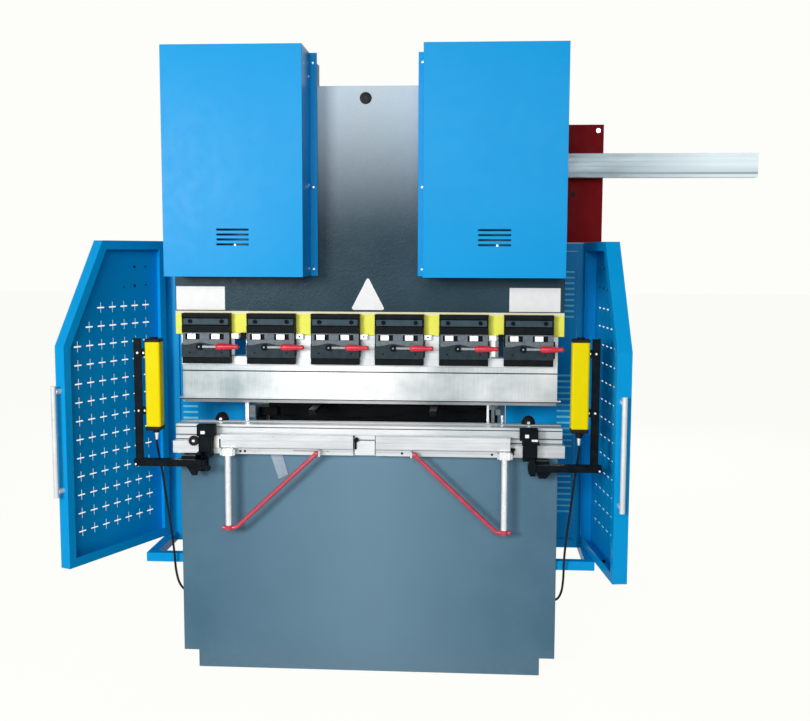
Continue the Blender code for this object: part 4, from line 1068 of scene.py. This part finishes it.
# ---- quick clamps ----
# Six blackened steel clamps under the ram. Each has a strip with two socket screws, a grey plate with two
# slots that show the bright wedges, a cover over the wedge lever, and a foot that grips the punch's tang.
CLAMP_GREY = clouded("clamp_grey", (0.165, 0.198, 0.226), 0.42, [0.012, 4.0],
                     ((0.12, 0.15, 0.175), (0.20, 0.235, 0.265)), [0.006], (0.34, 0.5), specular=0.2)
CLAMP_SLATE = clouded("clamp_slate", (0.022, 0.040, 0.050), 0.40, [0.02, 4.0],
                      ((0.014, 0.029, 0.038), (0.030, 0.051, 0.062)), [0.008], (0.32, 0.5),
                      ([0.002, 2.0], 0.00008, 0.5), specular=0.12)
STRIP_BLUE = clouded("strip_blue", (0.045, 0.078, 0.098), 0.40, [0.02, 4.0],
                     ((0.036, 0.066, 0.085), (0.054, 0.090, 0.112)), [0.008], (0.32, 0.5), specular=0.12)
CLAMP_BLACK = clouded("clamp_black", (0.005, 0.007, 0.009), 0.46, [0.02, 4.0],
                      ((0.003, 0.005, 0.007), (0.008, 0.011, 0.013)), [0.006], (0.38, 0.55),
                      ([0.002, 2.0], 0.00008, 0.4), specular=0.06)
CLAMP_FACE = -0.0580
M3_PIN = screw_master("m3_pin", 0.0026, 0.0016)
for n, x in enumerate(CLAMP_X):
    left = x - CLAMP_WIDE / 2
    dressed(f"clamp_{n + 1}", 0.0008, CLAMP_BLACK)
    strip = between(f"clamp_strip_{n + 1}", (left + 0.005, left + CLAMP_WIDE - 0.005), (-0.0550, -0.0562),
                    (1.1135, 1.1325), 0.0006)
    fitted(strip, "ram", "black_metal", STRIP_BLUE)
    screwed(M8_CAP, f"clamp_bolts_{n + 1}", [(x + dx, -0.0562, 1.1240) for dx in (-0.049, 0.051)], "ram",
            "black_metal", BLACKENED)

    # The slotted grey plate, made from bars round its two slots, with a wedge showing in each slot.
    slots = [(left + a, left + b) for a, b in ((0.0120, 0.0575), (0.0880, 0.1345))]
    plate_left, plate_right = left + 0.004, left + 0.151
    bars = [((plate_left, plate_right), (1.0855, 1.0885)), ((plate_left, plate_right), (1.0500, 1.0675)),
            ((plate_left, slots[0][0]), (1.0670, 1.0860)), ((slots[0][1], slots[1][0]), (1.0670, 1.0860)),
            ((slots[1][1], plate_right), (1.0670, 1.0860))]
    plate = [between(f"bar_{i}", span, (CLAMP_FACE, CLAMP_FACE - 0.0030), z)
             for i, (span, z) in enumerate(bars)]
    fitted(joined(f"clamp_plate_{n + 1}", plate), "ram", "black_metal", CLAMP_GREY)
    wedges = [between(f"wedge_{i}", (a + 0.0065, a + 0.0325), (CLAMP_FACE, CLAMP_FACE - 0.0024),
                      (1.0685, 1.0850), 0.0005)
              for i, (a, b) in enumerate(slots)]
    fitted(joined(f"clamp_wedges_{n + 1}", wedges), "ram", "aluminium", BRIGHT_TUBE)

    # The cover's top edge rises in a soft step over the lever's boss.
    rise = []
    for t in (i / 14 for i in range(15)):
        swell = math.sin(math.pi * min(1.0, max(0.0, (t - 0.08) / 0.62))) ** 2
        rise.append((left + t * CLAMP_WIDE, 1.0505 + 0.0075 * swell))
    outline = [(left, 1.0115), (left + CLAMP_WIDE, 1.0115), *reversed(rise)]
    cover = cut_plate(f"clamp_cover_{n + 1}", outline, (CLAMP_FACE, CLAMP_FACE - 0.0048))
    fitted(cover, "ram", "black_metal", CLAMP_SLATE)
    catch = between(f"clamp_catch_{n + 1}", (left + CLAMP_WIDE - 0.001, left + CLAMP_WIDE + 0.0042),
                    (CLAMP_FACE + 0.010, CLAMP_FACE - 0.0040), (1.0160, 1.0680), 0.0008)
    fitted(catch, "ram", "black_metal", BLACKENED)
    screwed(M3_PIN, f"cover_pins_{n + 1}",
            [(x + dx, CLAMP_FACE - 0.0048, 1.0270) for dx in (-0.050, 0.051)], "ram", "black_metal",
            BLACKENED)


# ---- clamp levers ----
# A steel boss and a flat stem, with a red moulded grip that ends in a ball. The lever turns on its boss.
LEVER_X, LEVER_Z, LEVER_Y = -0.0175, 1.0455, -0.070


def turned_grip(name, hub):
    """A disc pulled out along the lever's line, station by station: a swelling body, a neck and a ball."""
    stations = [(0.0520, 0.0070), (0.0530, 0.0092), (0.0580, 0.0103), (0.0700, 0.0105), (0.0850, 0.0098),
                (0.0990, 0.0084), (0.1090, 0.0069), (0.1125, 0.0066), (0.1160, 0.0072), (0.1200, 0.0075),
                (0.1232, 0.0062), (0.1248, 0.0032)]
    (first, radius), *others = stations
    grip = started(bpy.ops.mesh.primitive_circle_add, name, vertices=24, radius=radius, fill_type="NGON",
                   location=(hub + first, LEVER_Y, LEVER_Z), rotation=(0, math.pi / 2, 0))
    apply_all(grip)
    bpy.ops.object.mode_set(mode="EDIT")
    bpy.ops.mesh.select_mode(type="FACE")
    bpy.ops.mesh.select_all(action="SELECT")
    for along, wide in others:
        bpy.ops.mesh.extrude_region_move(TRANSFORM_OT_translate={"value": (along - first, 0, 0)})
        bpy.ops.transform.resize(value=(1, wide / radius, wide / radius),
                                 center_override=(hub + along, LEVER_Y, LEVER_Z))
        first, radius = along, wide
    bpy.ops.mesh.select_all(action="SELECT")
    bpy.ops.mesh.normals_make_consistent(inside=False)
    bpy.ops.object.mode_set(mode="OBJECT")
    bpy.ops.object.shade_smooth_by_angle(angle=math.radians(60))
    return grip


GRIP_RED = clouded("grip_red", (0.76, 0.026, 0.055), 0.28, [0.02, 3.0],
                   ((0.72, 0.020, 0.046), (0.80, 0.034, 0.066)), [0.006], (0.22, 0.34), specular=0.45)
STEM_GREY = clouded("stem_grey", (0.24, 0.26, 0.27), 0.38, [0.006],
                    ((0.17, 0.19, 0.20), (0.33, 0.35, 0.36)), [0.004], (0.30, 0.46), metallic=0.4)
for n, x in enumerate(CLAMP_X):
    hub = x + LEVER_X
    body = BODY[f"clamp_lever_{n + 1}"]
    boss = round_bar(f"lever_boss_{n + 1}", "Y", (hub, LEVER_Z), 0.0098, (-0.0632, -0.0768), 0.0012, 24)
    fitted(boss, body, "black_metal", BLACKENED, f"clamp_lever_{n + 1}")
    stem = [between(f"stem_{n}", (hub + 0.006, hub + 0.054), (LEVER_Y - 0.0042, LEVER_Y + 0.0042),
                    (LEVER_Z - 0.0042, LEVER_Z + 0.0042), 0.0018, 3),
            round_bar(f"pivot_{n}", "Y", (hub, LEVER_Z), 0.0030, (-0.0760, -0.0775), 0.0004, 16)]
    fitted(joined(f"lever_stem_{n + 1}", stem), body, "chrome", STEM_GREY)
    fitted(turned_grip(f"lever_grip_{n + 1}", hub), body, "red_paint", GRIP_RED)


# ---- back gauge ----
# Behind the die, a black anodised beam rides on two black rails and carries two black stop fingers.
# Rubber domes behind the die's ends keep the sheet off the side guards.
BLACK_ANODISED = clouded("black_anodised", (0.004, 0.005, 0.006), 0.30, [0.04, 4.0, (6, 1, 1)],
                         ((0.002, 0.003, 0.004), (0.008, 0.009, 0.011)), [0.01, 3.0, (10, 1, 1)],
                         (0.24, 0.40), specular=0.10)
dressed("gauge_beam", 0.0015, BLACK_ANODISED)
BEAM_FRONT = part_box("gauge_beam")[0].y
# Painted highlights: thin bright strips across the beam's front, for glints along its edges.
BEAM_GLINTS = (((-0.24, 0.06), 0.8480), ((-0.05, 0.36), 0.8400), ((-0.16, 0.24), 0.8220))
edges = [between(f"beam_glint_{i}", span, (BEAM_FRONT, BEAM_FRONT - 0.0010), (z, z + 0.0014))
         for i, (span, z) in enumerate(BEAM_GLINTS)]
fitted(joined("gauge_beam_glints", edges), BODY["gauge_beam"], "aluminium", BRIGHT_TUBE)
for side, s in SIDES:
    dressed(f"gauge_rail_{side}", 0.0010, BLACK_ANODISED)
    dressed(f"gauge_finger_{side}", 0.0010, BLACK_ANODISED)
    low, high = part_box(f"gauge_finger_{side}")
    screwed(M4, f"finger_bolts_{side}",
            [((low.x + high.x) / 2 + dx, 0.345, high.z) for dx in (-0.012, 0.012)],
            BODY[f"gauge_finger_{side}"], "chrome", ZINC_PLATE, "+Z")


def dome(name, centre, radius, height):
    obj = started(bpy.ops.mesh.primitive_uv_sphere_add, name, segments=28, ring_count=14, radius=radius,
                  location=centre)
    obj.scale.z = height / radius
    apply_all(obj)
    bpy.ops.object.mode_set(mode="EDIT")
    bpy.ops.mesh.select_all(action="SELECT")
    bpy.ops.mesh.bisect(plane_co=centre, plane_no=(0, 0, 1), clear_inner=True, use_fill=True)
    bpy.ops.object.mode_set(mode="OBJECT")
    bpy.ops.object.shade_smooth_by_angle(angle=math.radians(40))
    return obj


for name, x in (("left", -0.4790), ("right", 0.5065)):
    buffer = dome(f"rubber_dome_{name}", (x, 0.0290, 0.7995), 0.0225, 0.0260)
    fitted(buffer, "frame", "cable_rubber", MOULDED_RUBBER)
    base = round_bar(f"dome_base_{name}", "Z", (x, 0.0290), 0.0155, (0.7745, 0.7997), 0.0010, 24)
    cap = round_bar(f"dome_screw_{name}", "Y", (x, 0.8050), 0.0050, (0.0060, 0.0100), 0.0010, 16)
    fitted(joined(f"dome_fixing_{name}", [base, cap]), "frame", "chrome", ZINC_PLATE)


# ---- trim inside the throat ----
# Bright scale posts just behind the die near the side plates, small grey clips and a grey bar beside
# them, and the grey strap that hangs from the table below the left rail.
posts = [between("throat_post_left", (-0.4070, -0.3950), (0.0480, 0.0520), (0.7070, 0.9600), 0.0006),
         between("throat_post_right_a", (0.3747, 0.3821), (0.0480, 0.0520), (0.7070, 0.9600), 0.0006),
         between("throat_post_right_b", (0.4207, 0.4278), (0.0480, 0.0520), (0.7070, 0.8220), 0.0006)]
fitted(joined("throat_posts", posts), "frame", "aluminium", BRIGHT_TUBE)
clips = [between("throat_clip_left", (-0.3930, -0.3740), (0.0470, 0.0530), (0.8050, 0.8450), 0.0008),
         between("throat_clip_right", (0.4030, 0.4190), (0.0470, 0.0530), (0.8220, 0.8400), 0.0008),
         between("throat_bar_right", (0.3895, 0.3996), (0.0480, 0.0520), (0.7070, 0.9600), 0.0006)]
fitted(joined("throat_clips", clips), "frame", "aluminium", CLAMP_GREY)
strap = cut_plate("grey_strap",
                  [(-0.3078, 0.7046), (-0.2691, 0.7052), (-0.2513, 0.6386), (-0.2820, 0.6237)],
                  (-0.0455, -0.0485), 0.0006)
STRAP_GREY = clouded("strap_grey", (0.37, 0.455, 0.545), 0.4, [0.02, 4.0],
                     ((0.32, 0.40, 0.48), (0.42, 0.50, 0.59)), [0.01], (0.32, 0.5), specular=0.2)
fitted(strap, "frame", "aluminium", STRAP_GREY)


# ---- done ----
# The patterns that screws and punches were copied from go away.
for pattern in (M8_CAP, M4, M3_PIN, CABINET_SCREW, punch_master):
    bpy.data.objects.remove(pattern, do_unlink=True)
